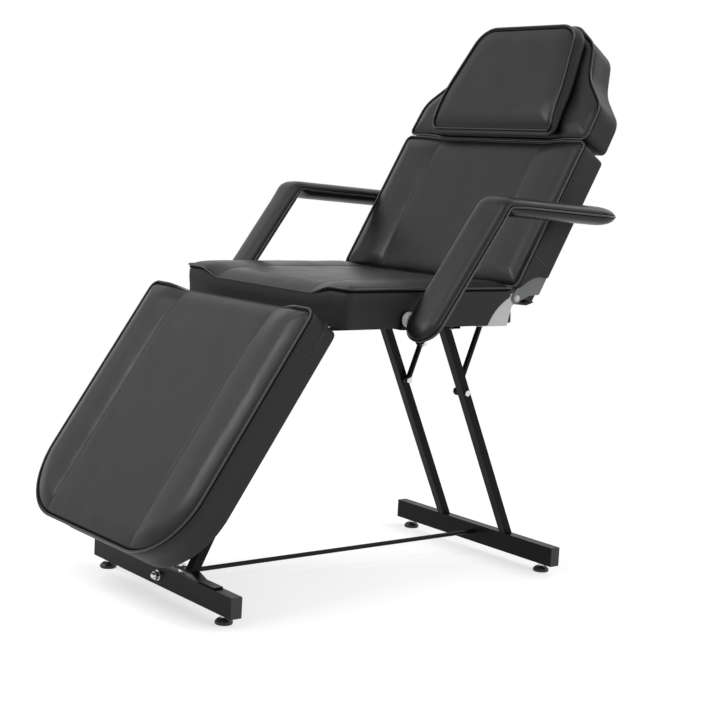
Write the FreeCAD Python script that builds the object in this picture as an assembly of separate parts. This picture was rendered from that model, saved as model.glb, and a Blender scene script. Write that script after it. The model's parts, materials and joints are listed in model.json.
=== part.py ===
import FreeCAD, Part
import math
import os

from FreeCAD import Vector

os.makedirs("parts", exist_ok=True)

# Tattoo chair with a reclining back, a lifting leg rest and two fold-back arms.
# Millimetres and degrees. While it is built, y = 0 is the seat's front edge, +Y runs
# to the head end, +X to the sitter's left and z = 0 is the floor. At the end the whole
# chair is moved along Y, so that its origin is under the middle of its footprint box.

# Driving sizes of the cushions
cushion_width = 600.0
seat_length = 445.0
seat_height = 656.0
seat_edge = 78.0
back_length = 362.0
back_edge = 73.0
head_length = 294.0
head_seam = 9.0
leg_length = 564.0
leg_edge = 75.0
crown = 8.0
edge_roll = 22.0
draw_in = 5.0
hem_inset = 3.0
valley_width = 360.0
valley_slope = 42.0
valley_depth = 12.0
valley_crown = 5.0
board_thick = 15.0
board_inset = 20.0
soft_gap = 0.4

# Angles of the photographed pose, in degrees
back_tilt = 60.5
leg_tilt = 56.0
post_tilt = 54.6
arm_pad_fall = 3.0

# Height through which a levelling foot turns out
foot_travel = 12.0

# Hinge lines, measured from the cushions' edges
back_pivot_drop = 22.0
back_seam = 2.5
leg_pivot_ahead = 8.0
leg_pivot_drop = 9.0
leg_seam = 6.0
arm_pivot_back = 152.0
arm_pivot_rise = 18.0

# Base of steel tube
bar_length = 550.0
bar_depth = 25.0
bar_height = 43.0
tube_wall = 1.5
front_bar_ahead = 211.0
rear_bar_behind = 203.0
leg_tube = 20.0
leg_tube_wall = 1.2
leg_spread = 110.0
rail_tube = 25.0
front_leg_top_back = 38.0
rear_leg_top_inset = 27.0
cross_length = 300.0
foot_ride = 20.0
foot_spread = 232.0

# Running clearance on every pin and slide, and the length by which cuts overrun
running_gap = 0.05
overrun = 5.0

# Round ends: their radius as a share of half the piece's width
nearly_round_share = 0.96

# Places that follow from the sizes above
half_width = cushion_width / 2
seat_bottom = seat_height - seat_edge
back_bottom = seat_height - back_edge
leg_bottom = seat_height - leg_edge
frame_bottom = seat_bottom - rail_tube
bar_bottom = foot_ride
bar_top = bar_bottom + bar_height
pivot_reach = back_pivot_drop * math.tan(math.radians(back_tilt / 2))
back_pivot = Vector(0, seat_length + back_seam + pivot_reach, seat_height - back_pivot_drop)
back_start = back_pivot.y + pivot_reach
leg_pivot = Vector(0, -leg_pivot_ahead, seat_bottom - leg_pivot_drop)
arm_pivot = Vector(0, arm_pivot_back, seat_bottom + arm_pivot_rise)
rear_bar_back = seat_length + rear_bar_behind
rear_leg_top_back = seat_length - rear_leg_top_inset

parts = {}


def block(x0, x1, y0, y1, z0, z1):
    """Solid box between two corners."""
    return Part.makeBox(x1 - x0, y1 - y0, z1 - z0, Vector(x0, y0, z0))


def round_bar(start, way, length, radius):
    """Solid round bar from a point, along a direction."""
    return Part.makeCylinder(radius, length, start, way)


def ring(start, way, length, radius, bore):
    """Round bar with a bore right through."""
    run = Vector(way).normalize()
    hole = round_bar(start - run * overrun, way, length + 2 * overrun, bore)
    return round_bar(start, way, length, radius).cut(hole)


def hexagon(start, way, length, across):
    """Hexagonal nut blank, across its flats, from a point along a direction."""
    corner = across / 2 / math.cos(math.radians(30))
    turns = [math.radians(60 * step) for step in range(7)]
    points = [Vector(corner * math.cos(turn), corner * math.sin(turn), 0) for turn in turns]
    blank = Part.Face(Part.makePolygon(points)).extrude(Vector(0, 0, length))
    blank.Placement = FreeCAD.Placement(start, FreeCAD.Rotation(Vector(0, 0, 1), way))
    return blank


def lay(plane, a, b, level):
    """Put the flat point a, b on a plane square to one axis."""
    if plane == "xy":
        return Vector(a, b, level)
    if plane == "yz":
        return Vector(level, a, b)
    return Vector(a, level, b)


def outline_wire(corners, plane, level):
    """Closed outline of straight runs, with an arc of the given radius at each corner."""
    entries, middles, exits = [], [], []
    for index, (a, b, radius) in enumerate(corners):
        before = corners[index - 1]
        after = corners[(index + 1) % len(corners)]
        here = Vector(a, b, 0)
        to_before = (Vector(before[0], before[1], 0) - here).normalize()
        to_after = (Vector(after[0], after[1], 0) - here).normalize()
        half_angle = to_before.getAngle(to_after) / 2
        reach = radius / math.tan(half_angle)
        inward = (to_before + to_after).normalize() if radius else Vector()
        depth = radius / math.sin(half_angle) - radius
        entries.append(here + to_before * reach)
        middles.append(here + inward * depth)
        exits.append(here + to_after * reach)
    edges = []
    for index, corner in enumerate(corners):
        points = [lay(plane, p.x, p.y, level) for p in
                  (entries[index], middles[index], exits[index])]
        following = entries[(index + 1) % len(corners)]
        if corner[2]:
            edges.append(Part.Arc(*points).toShape())
        edges.append(Part.makeLine(points[2], lay(plane, following.x, following.y, level)))
    return Part.Wire(edges)


least_radius_share = 0.35


def inset_corners(corners, inset):
    """Move each run of a counter-clockwise outline inward, and fit the corner radii to it."""
    moved = []
    for index, (a, b, radius) in enumerate(corners):
        before = corners[index - 1]
        after = corners[(index + 1) % len(corners)]
        arrive = Vector(a - before[0], b - before[1], 0).normalize()
        leave = Vector(after[0] - a, after[1] - b, 0).normalize()
        inward = Vector(-arrive.y, arrive.x, 0) + Vector(-leave.y, leave.x, 0)
        shift = inward * (inset / (1 + arrive.dot(leave)))
        convex = arrive.cross(leave).z > 0
        fitted = max(radius - inset, radius * least_radius_share) if convex else radius + inset
        moved.append((a + shift.x, b + shift.y, fitted))
    return moved


def plate(corners, plane, low, high):
    """Flat plate: an outline with rounded corners, extruded square to its plane."""
    face = Part.Face(outline_wire(corners, plane, low))
    return face.extrude(lay(plane, 0, 0, high - low))


def stacked(corners, plane, rows):
    """Soft form: the outline lofted through levels, each with its own inset."""
    wires = [outline_wire(inset_corners(corners, inset), plane, level) for level, inset in rows]
    return Part.makeLoft(wires, True, True)


def rounded_rows(low, high, inset, steps):
    """Levels of a quarter-round edge that climbs from low to high while it draws inward."""
    turns = [math.pi / 2 * step / steps for step in range(1, steps + 1)]
    return [(low + (high - low) * math.sin(turn), inset * (1 - math.cos(turn)))
            for turn in turns]


def both_sides(shape):
    """The piece and its mirror image on the chair's other side."""
    return Part.makeCompound([shape, other_side(shape)])


def other_side(shape):
    """Mirror image of a piece across the chair's middle plane."""
    return shape.mirror(Vector(), Vector(1, 0, 0))


def tilt_back(shape):
    """Turn a piece that was built with the back lying flat up to its rest angle."""
    turned = shape.copy()
    turned.rotate(back_pivot, Vector(1, 0, 0), back_tilt)
    return turned


def tilt_leg(shape):
    """Turn a piece that was built with the leg rest level down to its rest angle."""
    turned = shape.copy()
    turned.rotate(leg_pivot, Vector(1, 0, 0), leg_tilt)
    return turned


def square_tube_leg(x, foot, head, foot_level, head_level):
    """Leaning square tube whose two ends are cut level."""
    lean = math.atan2(head_level - foot_level, abs(head - foot))
    shell = None
    for width, end in ((leg_tube, 0), (leg_tube - 2 * leg_tube_wall, overrun)):
        half = width / 2 / math.sin(lean)
        drift = (head - foot) / (head_level - foot_level) * end
        outline = [(foot - half - drift, foot_level - end, 0),
                   (foot + half - drift, foot_level - end, 0),
                   (head + half + drift, head_level + end, 0),
                   (head - half + drift, head_level + end, 0)]
        solid = plate(outline, "yz", x - width / 2, x + width / 2)
        shell = solid if shell is None else shell.cut(solid)
    return shell


def box_tube(x0, x1, y0, y1, z0, z1, along):
    """Rectangular steel tube, open at both ends along x or y."""
    wall_x = -overrun if along == "x" else tube_wall
    wall_y = -overrun if along == "y" else tube_wall
    inside = block(x0 + wall_x, x1 - wall_x, y0 + wall_y, y1 - wall_y,
                   z0 + tube_wall, z1 - tube_wall)
    return block(x0, x1, y0, y1, z0, z1).cut(inside)


# Foot bars, each a rectangular tube with a plastic plug at both ends
bar_places = {"front": -front_bar_ahead, "rear": rear_bar_back}
cap_thick = 2.5
cap_plug = 14.0
cap_wall = 2.0
plug_gap = 0.1
rod_radius = 5.0
rod_level = bar_bottom + bar_height / 2
foot_stud_radius = 4.0
foot_hole = foot_stud_radius + running_gap
bars = {}
end_caps = []
for name, middle in bar_places.items():
    low = middle - bar_depth / 2
    high = middle + bar_depth / 2
    bar_half = bar_length / 2 - cap_thick
    tube = box_tube(-bar_half, bar_half, low, high, bar_bottom, bar_top, "x")
    tube = tube.cut(round_bar(Vector(0, low - overrun, rod_level), Vector(0, 1, 0),
                              bar_depth + 2 * overrun, rod_radius + running_gap))
    for side in (-1, 1):
        tube = tube.cut(round_bar(Vector(side * foot_spread, middle, bar_bottom - overrun),
                                  Vector(0, 0, 1), tube_wall + 2 * overrun, foot_hole))
    bars[name] = tube
    cap = block(bar_half, bar_half + cap_thick, low, high, bar_bottom, bar_top)
    inner = tube_wall + plug_gap
    plug = block(bar_half - cap_plug, bar_half, low + inner, high - inner,
                 bar_bottom + inner, bar_top - inner)
    hollow = inner + cap_wall
    plug = plug.cut(block(bar_half - cap_plug - overrun, bar_half, low + hollow, high - hollow,
                          bar_bottom + hollow, bar_top - hollow))
    end_caps.append(both_sides(cap.fuse(plug).removeSplitter()))
parts["bar_end_caps"] = Part.makeCompound(end_caps)

# Foot plate: a steel strap that bridges the two front legs over the bar
strap_length = 418.0
strap_step_out = 150.0
strap_step_in = 124.0
strap_rise = 9.0
strap_thick = 4.0
strap_depth = 20.0
strap_bolt_spread = 72.0
strap_bolt_radius = 4.0
strap_nut_across = 13.0
strap_nut_high = 6.0
strap_top = bar_top + strap_rise + strap_thick
lower_line = [(strap_length / 2, bar_top), (strap_step_out, bar_top),
              (strap_step_in, bar_top + strap_rise)]
upper_line = [(x, z + strap_thick) for x, z in lower_line]
strap_outline = ([(-x, z, 0) for x, z in lower_line]
                 + [(x, z, 0) for x, z in reversed(lower_line)]
                 + [(x, z, 0) for x, z in upper_line]
                 + [(-x, z, 0) for x, z in reversed(upper_line)])
strap = plate(strap_outline, "xz", -front_bar_ahead - strap_depth / 2,
              -front_bar_ahead + strap_depth / 2)
strap_bolts = []
for side in (-1, 1):
    on_bar = Vector(side * strap_bolt_spread, -front_bar_ahead, bar_top)
    shank_foot = on_bar - Vector(0, 0, tube_wall + strap_nut_high)
    shank = round_bar(shank_foot, Vector(0, 0, 1),
                      strap_top - shank_foot.z, strap_bolt_radius)
    head = hexagon(Vector(on_bar.x, on_bar.y, strap_top), Vector(0, 0, 1),
                   strap_nut_high, strap_nut_across)
    spacer = hexagon(on_bar, Vector(0, 0, 1), strap_rise, strap_nut_across)
    strap_bolts.append(shank.fuse([head, spacer]).removeSplitter())
    bore = round_bar(shank_foot - Vector(0, 0, overrun), Vector(0, 0, 1),
                     strap_top + 2 * overrun - shank_foot.z, strap_bolt_radius + running_gap)
    strap = strap.cut(bore)
    bars["front"] = bars["front"].cut(bore)
parts["front_foot_plate"] = strap
parts["foot_plate_bolts"] = Part.makeCompound(strap_bolts)
for name, tube in bars.items():
    parts[name + "_foot_bar"] = tube

# Levelling feet: a moulded pad on a threaded stud, under a nut welded to the bar
foot_pad_radius = 18.0
foot_pad_top_radius = 13.0
foot_pad_edge = 6.0
foot_pad_high = 11.0
foot_edge_break = 1.5
foot_stud_spare = 6.0
foot_stud_top = bar_bottom + foot_travel + foot_stud_spare
foot_nut_high = 6.0
foot_nut_across = 14.0
foot_nuts = []
for end, middle in bar_places.items():
    for side_name, side in (("left", 1), ("right", -1)):
        centre = Vector(side * foot_spread, middle, 0)
        pad = round_bar(centre, Vector(0, 0, 1), foot_pad_edge, foot_pad_radius)
        pad = pad.makeChamfer(foot_edge_break, [edge for edge in pad.Edges
                                                if edge.BoundBox.ZMax < foot_edge_break])
        dome = Part.makeCone(foot_pad_radius, foot_pad_top_radius, foot_pad_high - foot_pad_edge,
                             centre + Vector(0, 0, foot_pad_edge))
        stud = round_bar(centre + Vector(0, 0, foot_pad_edge), Vector(0, 0, 1),
                         foot_stud_top - foot_pad_edge, foot_stud_radius)
        parts["levelling_foot_%s_%s" % (end, side_name)] = pad.fuse([dome, stud]).removeSplitter()
        nut = hexagon(centre + Vector(0, 0, bar_bottom - foot_nut_high), Vector(0, 0, 1),
                      foot_nut_high, foot_nut_across)
        foot_nuts.append(nut.cut(round_bar(centre, Vector(0, 0, 1), bar_bottom + overrun,
                                           foot_hole)))
parts["foot_nuts"] = Part.makeCompound(foot_nuts)

# Stretcher rod through both bars, drawn tight by a washer and a domed nut at each end
washer_radius = 11.0
washer_thick = 2.0
dome_nut_across = 16.0
dome_nut_high = 8.0
dome_radius = 7.0
rod_proud = 8.0
rod_start = -front_bar_ahead - bar_depth / 2 - rod_proud
rod_end = rear_bar_back + bar_depth / 2 + rod_proud
parts["stretcher_rod"] = round_bar(Vector(0, rod_start, rod_level), Vector(0, 1, 0),
                                   rod_end - rod_start, rod_radius)
rod_nuts = []
for place, way in ((-front_bar_ahead - bar_depth / 2, -1), (rear_bar_back + bar_depth / 2, 1)):
    outward = Vector(0, way, 0)
    seat_of_nut = Vector(0, place, rod_level)
    washer = round_bar(seat_of_nut, outward, washer_thick, washer_radius)
    nut = hexagon(seat_of_nut + outward * washer_thick, outward, dome_nut_high, dome_nut_across)
    cap_centre = seat_of_nut + outward * (washer_thick + dome_nut_high)
    dome = Part.makeSphere(dome_radius, cap_centre)
    dome = dome.common(round_bar(cap_centre, outward, dome_radius, dome_radius + overrun))
    bore = round_bar(seat_of_nut, outward, rod_proud, rod_radius + running_gap)
    rod_nuts.append(washer.fuse([nut, dome]).cut(bore).removeSplitter())
parts["stretcher_nuts"] = Part.makeCompound(rod_nuts)

# Seat frame: two cross tubes and two rails, welded on the four legs
cross_places = {"front": front_leg_top_back, "rear": rear_leg_top_back}
crosses = {}
for name, middle in cross_places.items():
    crosses[name] = box_tube(-cross_length / 2, cross_length / 2, middle - rail_tube / 2,
                             middle + rail_tube / 2, frame_bottom, seat_bottom, "x")
rail = box_tube(leg_spread - rail_tube / 2, leg_spread + rail_tube / 2,
                front_leg_top_back + rail_tube / 2, rear_leg_top_back - rail_tube / 2,
                frame_bottom, seat_bottom, "y")
parts["seat_rail_left"] = rail
parts["seat_rail_right"] = other_side(rail)

# Legs, and the bolt in each rear leg on which a back stay turns
stay_foot_drop = 254.0
stay_spread = 88.0
stay_bolt_radius = 4.0
level_cut_share = 0.552
stay_foot_level = seat_height - stay_foot_drop
rear_foot = rear_bar_back - bar_depth / 2 + leg_tube * level_cut_share
rear_slope = (rear_leg_top_back - rear_foot) / (frame_bottom - bar_top)
stay_foot = Vector(stay_spread, rear_foot + rear_slope * (stay_foot_level - bar_top),
                   stay_foot_level)
front_leg = square_tube_leg(leg_spread, -front_bar_ahead, front_leg_top_back,
                            strap_top, frame_bottom)
rear_leg = square_tube_leg(leg_spread, rear_foot, rear_leg_top_back, bar_top, frame_bottom)
rear_leg = rear_leg.cut(round_bar(stay_foot, Vector(1, 0, 0), leg_spread,
                                  stay_bolt_radius + running_gap))
for side_name, side in (("left", 1), ("right", -1)):
    for leg_name, leg in (("front_leg_", front_leg), ("rear_leg_", rear_leg)):
        parts[leg_name + side_name] = leg if side == 1 else other_side(leg)

# Outlines of the cushions, each seen from above with the chair laid flat
side_level_shares = (0.14, 0.34, 0.54, 0.74, 0.9)
side_inset_shares = (0.7, 0.95, 0.95, 0.55, 0)
roll_steps = 5
seat_corner = 16.0
back_corner = 14.0
leg_hinge_corner = 20.0
leg_toe_corner = 145.0


def rectangle(half, y0, y1, near_corner, far_corner):
    """Counter-clockwise outline between y0 and y1, with its own corner radius at each end."""
    return [(-half, y0, near_corner), (half, y0, near_corner),
            (half, y1, far_corner), (-half, y1, far_corner)]


back_end = back_start + back_length
head_start = back_end + head_seam
head_end = head_start + head_length
leg_start = -leg_seam
seat_outline = rectangle(half_width, 0, seat_length, seat_corner, seat_corner)
back_outline = rectangle(half_width, back_start, back_end, back_corner, back_corner)
leg_outline = rectangle(half_width, leg_start - leg_length, leg_start,
                        leg_toe_corner, leg_hinge_corner)
shoulder_width_shares = (0.99, 0.98, 0.733, 0.607, 0.35)
shoulder_length_shares = (0, 0.286, 0.531, 0.803, 1)
head_radius_shares = (0.043, 0.204, 0.408, 0.255, 0.204)
head_right_side = [(half_width * wide, head_start + head_length * far, head_length * turn)
                   for wide, far, turn in zip(shoulder_width_shares, shoulder_length_shares,
                                              head_radius_shares)]
head_outline = head_right_side + [(-a, b, turn) for a, b, turn in reversed(head_right_side)]


def upholstered(outline, bottom, edge):
    """Cushion with drawn-in sides, a rolled crown and a pocket below for its board."""
    sides = [(bottom + edge * share, draw_in * inset)
             for share, inset in zip(side_level_shares, side_inset_shares)]
    shoulder = rounded_rows(sides[-1][0], bottom + edge + crown, edge_roll, roll_steps)
    form = stacked(outline, "xy", [(bottom, hem_inset)] + sides + shoulder)
    pocket = plate(inset_corners(outline, board_inset - soft_gap), "xy",
                   bottom - overrun, bottom + board_thick + soft_gap)
    return form.cut(pocket)


def board(outline, bottom):
    """Plywood board that closes a cushion from below."""
    return plate(inset_corners(outline, board_inset), "xy", bottom, bottom + board_thick)


def sink_valley(cushion, y0, y1, top):
    """Sink the middle panel between two side bolsters, with a low crown along its middle."""
    crest = top + crown
    floor = crest - valley_depth
    over = crest + overrun
    wall = valley_slope / valley_depth
    foot = valley_width / 2
    lip = foot + wall * (over - floor)
    edges = [Part.makeLine(Vector(lip, y0, over), Vector(-lip, y0, over)),
             Part.makeLine(Vector(-lip, y0, over), Vector(-foot, y0, floor)),
             Part.Arc(Vector(-foot, y0, floor), Vector(0, y0, floor + valley_crown),
                      Vector(foot, y0, floor)).toShape(),
             Part.makeLine(Vector(foot, y0, floor), Vector(lip, y0, over))]
    trough = Part.Face(Part.Wire(edges)).extrude(Vector(0, y1 - y0, 0))
    return cushion.cut(trough)


# Hinge notches: round bites out of the cushions' sides, in which the hinge plates lie
notch_depth = 18.0
seat_notch_radius = 120.0
seat_notch_behind = 24.5
seat_notch_drop = 104.0
back_notch_radius = 90.0
back_notch_behind = 61.5
back_notch_drop = 44.0
seat_notch_ahead = Vector(0, seat_notch_behind, -seat_notch_drop)
back_notch_ahead = Vector(0, back_notch_behind, -back_notch_drop)
notch_plane = half_width - notch_depth


def notch(radius, ahead):
    """The two round bites, left and right, about a centre given from the back's pivot."""
    bite = round_bar(back_pivot + ahead + Vector(notch_plane, 0, 0), Vector(1, 0, 0),
                     notch_depth + overrun, radius)
    return both_sides(bite)


seat_cushion = upholstered(seat_outline, seat_bottom, seat_edge)
seat_cushion = sink_valley(seat_cushion, -overrun, seat_length + overrun, seat_height)
parts["seat_cushion"] = seat_cushion.cut(notch(seat_notch_radius, seat_notch_ahead))

back_cushion = upholstered(back_outline, back_bottom, back_edge)
back_cushion = sink_valley(back_cushion, back_start - overrun, back_end + overrun, seat_height)
back_cushion = tilt_back(back_cushion)
parts["back_cushion"] = back_cushion.cut(notch(back_notch_radius, back_notch_ahead))

leg_cushion = upholstered(leg_outline, leg_bottom, leg_edge)
leg_cushion = sink_valley(leg_cushion, leg_start - leg_length - overrun,
                          leg_start + overrun, seat_height)
parts["leg_cushion"] = tilt_leg(leg_cushion)

parts["head_cushion"] = tilt_back(upholstered(head_outline, back_bottom, back_edge))

# Pillow: a loose wedge pad that is pressed on the head section and lifts off
pillow_start = 9.0
pillow_length = 260.0
pillow_foot = 396.0
pillow_wide = 424.0
pillow_narrow = 320.0
pillow_thick = 38.0
pillow_low_corner = 24.0
pillow_side_corner = 120.0
pillow_high_corner = 50.0
pillow_widest_share = 0.35
pillow_belly = 9.0
pillow_round = 38.0
pillow_belly_shares = (1, 0.35, 0)
pillow_belly_level_shares = (0, 0.12, 0.32)
pillow_bottom = seat_height + crown + soft_gap
pillow_y0 = head_start + pillow_start
pillow_widest = pillow_y0 + pillow_length * pillow_widest_share
pillow_right_side = [(pillow_foot / 2, pillow_y0, pillow_low_corner),
                     (pillow_wide / 2, pillow_widest, pillow_side_corner),
                     (pillow_narrow / 2, pillow_y0 + pillow_length, pillow_high_corner)]
pillow_outline = pillow_right_side + [(-a, b, turn) for a, b, turn in reversed(pillow_right_side)]
pillow_rows = [(pillow_bottom + level * pillow_thick, share * pillow_belly)
               for level, share in zip(pillow_belly_level_shares, pillow_belly_shares)]
pillow_rows += rounded_rows(pillow_rows[-1][0], pillow_bottom + pillow_thick, pillow_round,
                            roll_steps)
parts["head_pillow"] = tilt_back(stacked(pillow_outline, "xy", pillow_rows))

# Boards, and the screws that hold steel plates against them
screw_radius = 2.5
screw_head_radius = 5.0
screw_head_high = 3.0
screw_head_share = 0.7
screw_depth = 11.0
screw_margin = 1.0
plate_thick = 3.0


def screw(x, y, face, packed):
    """Pan-head screw driven up into a board's underside, through what is packed below it."""
    head_top = face - packed
    head = Part.makeCone(screw_head_radius * screw_head_share, screw_head_radius, screw_head_high,
                         Vector(x, y, head_top - screw_head_high))
    return head.fuse(round_bar(Vector(x, y, head_top), Vector(0, 0, 1),
                               packed + screw_depth, screw_radius)).removeSplitter()


def screw_hole(x, y, face, packed):
    """Hole for one screw, through the packing and into the board."""
    return round_bar(Vector(x, y, face - packed - overrun), Vector(0, 0, 1),
                     packed + screw_depth + overrun + soft_gap, screw_radius + running_gap)


seat_board = board(seat_outline, seat_bottom)
back_board = board(back_outline, back_bottom)
head_board = board(head_outline, back_bottom)
leg_board = board(leg_outline, leg_bottom)

# Long screws hold the seat board down on the cross tubes
seat_screw_spread = 136.0
frame_screws = []
for name, middle in cross_places.items():
    for side in (-1, 1):
        place = (side * seat_screw_spread, middle, seat_bottom, rail_tube)
        frame_screws.append(screw(*place))
        seat_board = seat_board.cut(screw_hole(*place))
        crosses[name] = crosses[name].cut(screw_hole(*place))
    parts["seat_cross_" + name] = crosses[name]

# Back hinges: a pressed plate on the seat and one on the back, on a rivet each side.
# Both lie in the notch, and a flange of each is screwed under its board.
web_clear = 1.5
web_gap = 0.8
rivet_radius = 5.0
rivet_head_radius = 8.0
rivet_head_high = 3.0
boss_radius = 12.0
notch_clear = 0.7
flange_width = 58.0
bend_radius = 6.0
seat_flange_ahead = 8.0
seat_flange_back = 90.0
seat_web_toe = 90.0
seat_waist_back = 101.0
seat_waist_rise = 38.0
seat_web_in = notch_plane + web_clear
seat_web_out = seat_web_in + plate_thick
back_web_in = seat_web_out + web_gap
back_web_out = back_web_in + plate_thick
flange_in = notch_plane - flange_width

# Places on the seat's plate count from a line at y seat_datum, near the plate's front end
seat_datum_inset = 95.0
seat_datum = seat_length - seat_datum_inset
boss_round = round_bar(back_pivot + Vector(seat_web_in, 0, 0), Vector(1, 0, 0), plate_thick,
                       boss_radius)
web_sheet = plate([(seat_datum + seat_flange_ahead, seat_bottom - plate_thick, 0),
                   (seat_datum + seat_web_toe, seat_bottom - plate_thick, 0),
                   (seat_datum + seat_waist_back, seat_bottom + seat_waist_rise, bend_radius),
                   (back_pivot.y + boss_radius, back_pivot.z, 0),
                   (back_pivot.y, back_pivot.z + boss_radius, 0),
                   (seat_datum + seat_flange_ahead, back_pivot.z + boss_radius, 0)],
                  "yz", seat_web_in, seat_web_out)
seat_notch_fit = round_bar(back_pivot + seat_notch_ahead + Vector(seat_web_in, 0, 0),
                           Vector(1, 0, 0), plate_thick, seat_notch_radius - notch_clear)
seat_web = web_sheet.common(seat_notch_fit).fuse(boss_round)
seat_flange = block(flange_in, seat_web_out, seat_datum + seat_flange_ahead,
                    seat_datum + seat_flange_back, seat_bottom - plate_thick, seat_bottom)
seat_hinge = seat_web.fuse(seat_flange)

# The back's plate is laid out with the back lying flat
back_foot_behind = 22.0
back_foot_drop = 30.0
back_heel = 38.0
back_flange_length = 93.0
flat_turn = FreeCAD.Rotation(Vector(1, 0, 0), -back_tilt)
back_notch_flat = back_pivot + flat_turn.multVec(back_notch_ahead)
web_reach = back_notch_flat.y + back_notch_radius
back_boss = round_bar(back_pivot + Vector(back_web_in, 0, 0), Vector(1, 0, 0), plate_thick,
                      boss_radius)
web_sheet = plate([(back_pivot.y - boss_radius, back_pivot.z, 0),
                   (back_pivot.y, back_pivot.z - boss_radius, 0),
                   (back_pivot.y + back_foot_behind, back_pivot.z - back_foot_drop, bend_radius),
                   (back_pivot.y + back_heel, back_bottom - plate_thick, 0),
                   (web_reach, back_bottom - plate_thick, 0),
                   (web_reach, back_pivot.z + boss_radius, 0),
                   (back_pivot.y, back_pivot.z + boss_radius, 0)],
                  "yz", back_web_in, back_web_out)
back_notch_fit = round_bar(back_notch_flat + Vector(back_web_in, 0, 0), Vector(1, 0, 0),
                           plate_thick, back_notch_radius - notch_clear)
back_web = web_sheet.common(back_notch_fit).fuse(back_boss)
back_flange = block(flange_in, back_web_out, back_pivot.y + back_heel,
                    back_pivot.y + back_heel + back_flange_length,
                    back_bottom - plate_thick, back_bottom)
back_hinge = back_web.fuse(back_flange)

hinge_screw_inset = 22.0
seat_screw_near = 19.0
seat_screw_far = 60.0
back_screw_near = 22.0
back_screw_far = 70.0
back_screws = []
seat_screw_backs = (seat_datum + seat_screw_near, seat_datum + seat_screw_far)
back_screw_backs = (back_pivot.y + back_heel + back_screw_near,
                    back_pivot.y + back_heel + back_screw_far)
hinge_screw_x = flange_in + hinge_screw_inset
for y in seat_screw_backs:
    place = (hinge_screw_x, y, seat_bottom, plate_thick)
    frame_screws.append(both_sides(screw(*place)))
    seat_hinge = seat_hinge.cut(screw_hole(*place))
    seat_board = seat_board.cut(both_sides(screw_hole(*place)))
for y in back_screw_backs:
    place = (hinge_screw_x, y, back_bottom, plate_thick)
    back_screws.append(both_sides(screw(*place)))
    back_hinge = back_hinge.cut(screw_hole(*place))
    back_board = back_board.cut(both_sides(screw_hole(*place)))

rivet_bore = round_bar(back_pivot + Vector(seat_web_in - overrun, 0, 0), Vector(1, 0, 0),
                       back_web_out - seat_web_in + 2 * overrun, rivet_radius + running_gap)
seat_hinge = seat_hinge.cut(rivet_bore).removeSplitter()
back_hinge = back_hinge.cut(rivet_bore).removeSplitter()
rivet_start = back_pivot + Vector(seat_web_in, 0, 0)
rivet = round_bar(rivet_start, Vector(1, 0, 0), back_web_out - seat_web_in, rivet_radius)
rivet_heads = [Part.makeCone(rivet_head_radius, rivet_head_radius - rivet_head_high / 2,
                             rivet_head_high, start, way)
               for start, way in ((rivet_start, Vector(-1, 0, 0)),
                                  (back_pivot + Vector(back_web_out, 0, 0), Vector(1, 0, 0)))]
parts["back_hinge_rivets"] = both_sides(rivet.fuse(rivet_heads).removeSplitter())
back_hinge = tilt_back(back_hinge)
for side_name, side in (("left", 1), ("right", -1)):
    parts["seat_hinge_plate_" + side_name] = seat_hinge if side == 1 else other_side(seat_hinge)
    parts["back_hinge_plate_" + side_name] = back_hinge if side == 1 else other_side(back_hinge)

# Head straps: two steel strips that carry the head section on the back's board
strap_spread = 120.0
strap_width = 40.0
strap_on_back = 92.0
strap_on_head = 100.0
head_straps = []
for side in (-1, 1):
    bar = block(side * strap_spread - strap_width / 2, side * strap_spread + strap_width / 2,
                back_end - strap_on_back, head_start + strap_on_head,
                back_bottom - plate_thick, back_bottom)
    for y in (back_end - strap_on_back / 2, head_start + strap_on_head / 2):
        place = (side * strap_spread, y, back_bottom, plate_thick)
        back_screws.append(screw(*place))
        bar = bar.cut(screw_hole(*place))
        back_board = back_board.cut(screw_hole(*place))
        head_board = head_board.cut(screw_hole(*place))
    head_straps.append(bar)
parts["head_straps"] = tilt_back(Part.makeCompound(head_straps))

# Stay brackets: two cheeks under the back's board, with the bolt that each stay's slot rides
stay_top_behind = 175.5
stay_top_rise = 156.0
stay_top = back_pivot + Vector(stay_spread, stay_top_behind, stay_top_rise)
stay_top_flat = back_pivot + flat_turn.multVec(stay_top - back_pivot)
stay_top_flat.x = stay_spread
stay_plate_thick = 5.0
cheek_gap = 2.7
cheek_half = stay_plate_thick / 2 + cheek_gap
cheek_radius = 10.0
cheek_foot_length = 48.0
bracket_width = 52.0
bracket_length = 68.0
bracket_bolt_head = 13.0
bracket_bolt_head_high = 5.0
bracket = block(stay_spread - bracket_width / 2, stay_spread + bracket_width / 2,
                stay_top_flat.y - bracket_length / 2, stay_top_flat.y + bracket_length / 2,
                back_bottom - plate_thick, back_bottom)
cheek_outline = [(stay_top_flat.y - cheek_foot_length / 2, back_bottom - plate_thick, 0),
                 (stay_top_flat.y - cheek_radius, stay_top_flat.z - cheek_radius, bend_radius),
                 (stay_top_flat.y + cheek_radius, stay_top_flat.z - cheek_radius, bend_radius),
                 (stay_top_flat.y + cheek_foot_length / 2, back_bottom - plate_thick, 0)]
for low in (stay_spread - cheek_half - plate_thick, stay_spread + cheek_half):
    bracket = bracket.fuse(plate(cheek_outline, "yz", low, low + plate_thick))
bolt_low = stay_spread - cheek_half - plate_thick
bolt_length = 2 * (cheek_half + plate_thick)
bolt_start = Vector(bolt_low, stay_top_flat.y, stay_top_flat.z)
bracket = bracket.cut(round_bar(bolt_start - Vector(overrun, 0, 0), Vector(1, 0, 0),
                                bolt_length + 2 * overrun, stay_bolt_radius + running_gap))
bracket_bolt = round_bar(bolt_start, Vector(1, 0, 0), bolt_length, stay_bolt_radius)
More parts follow.
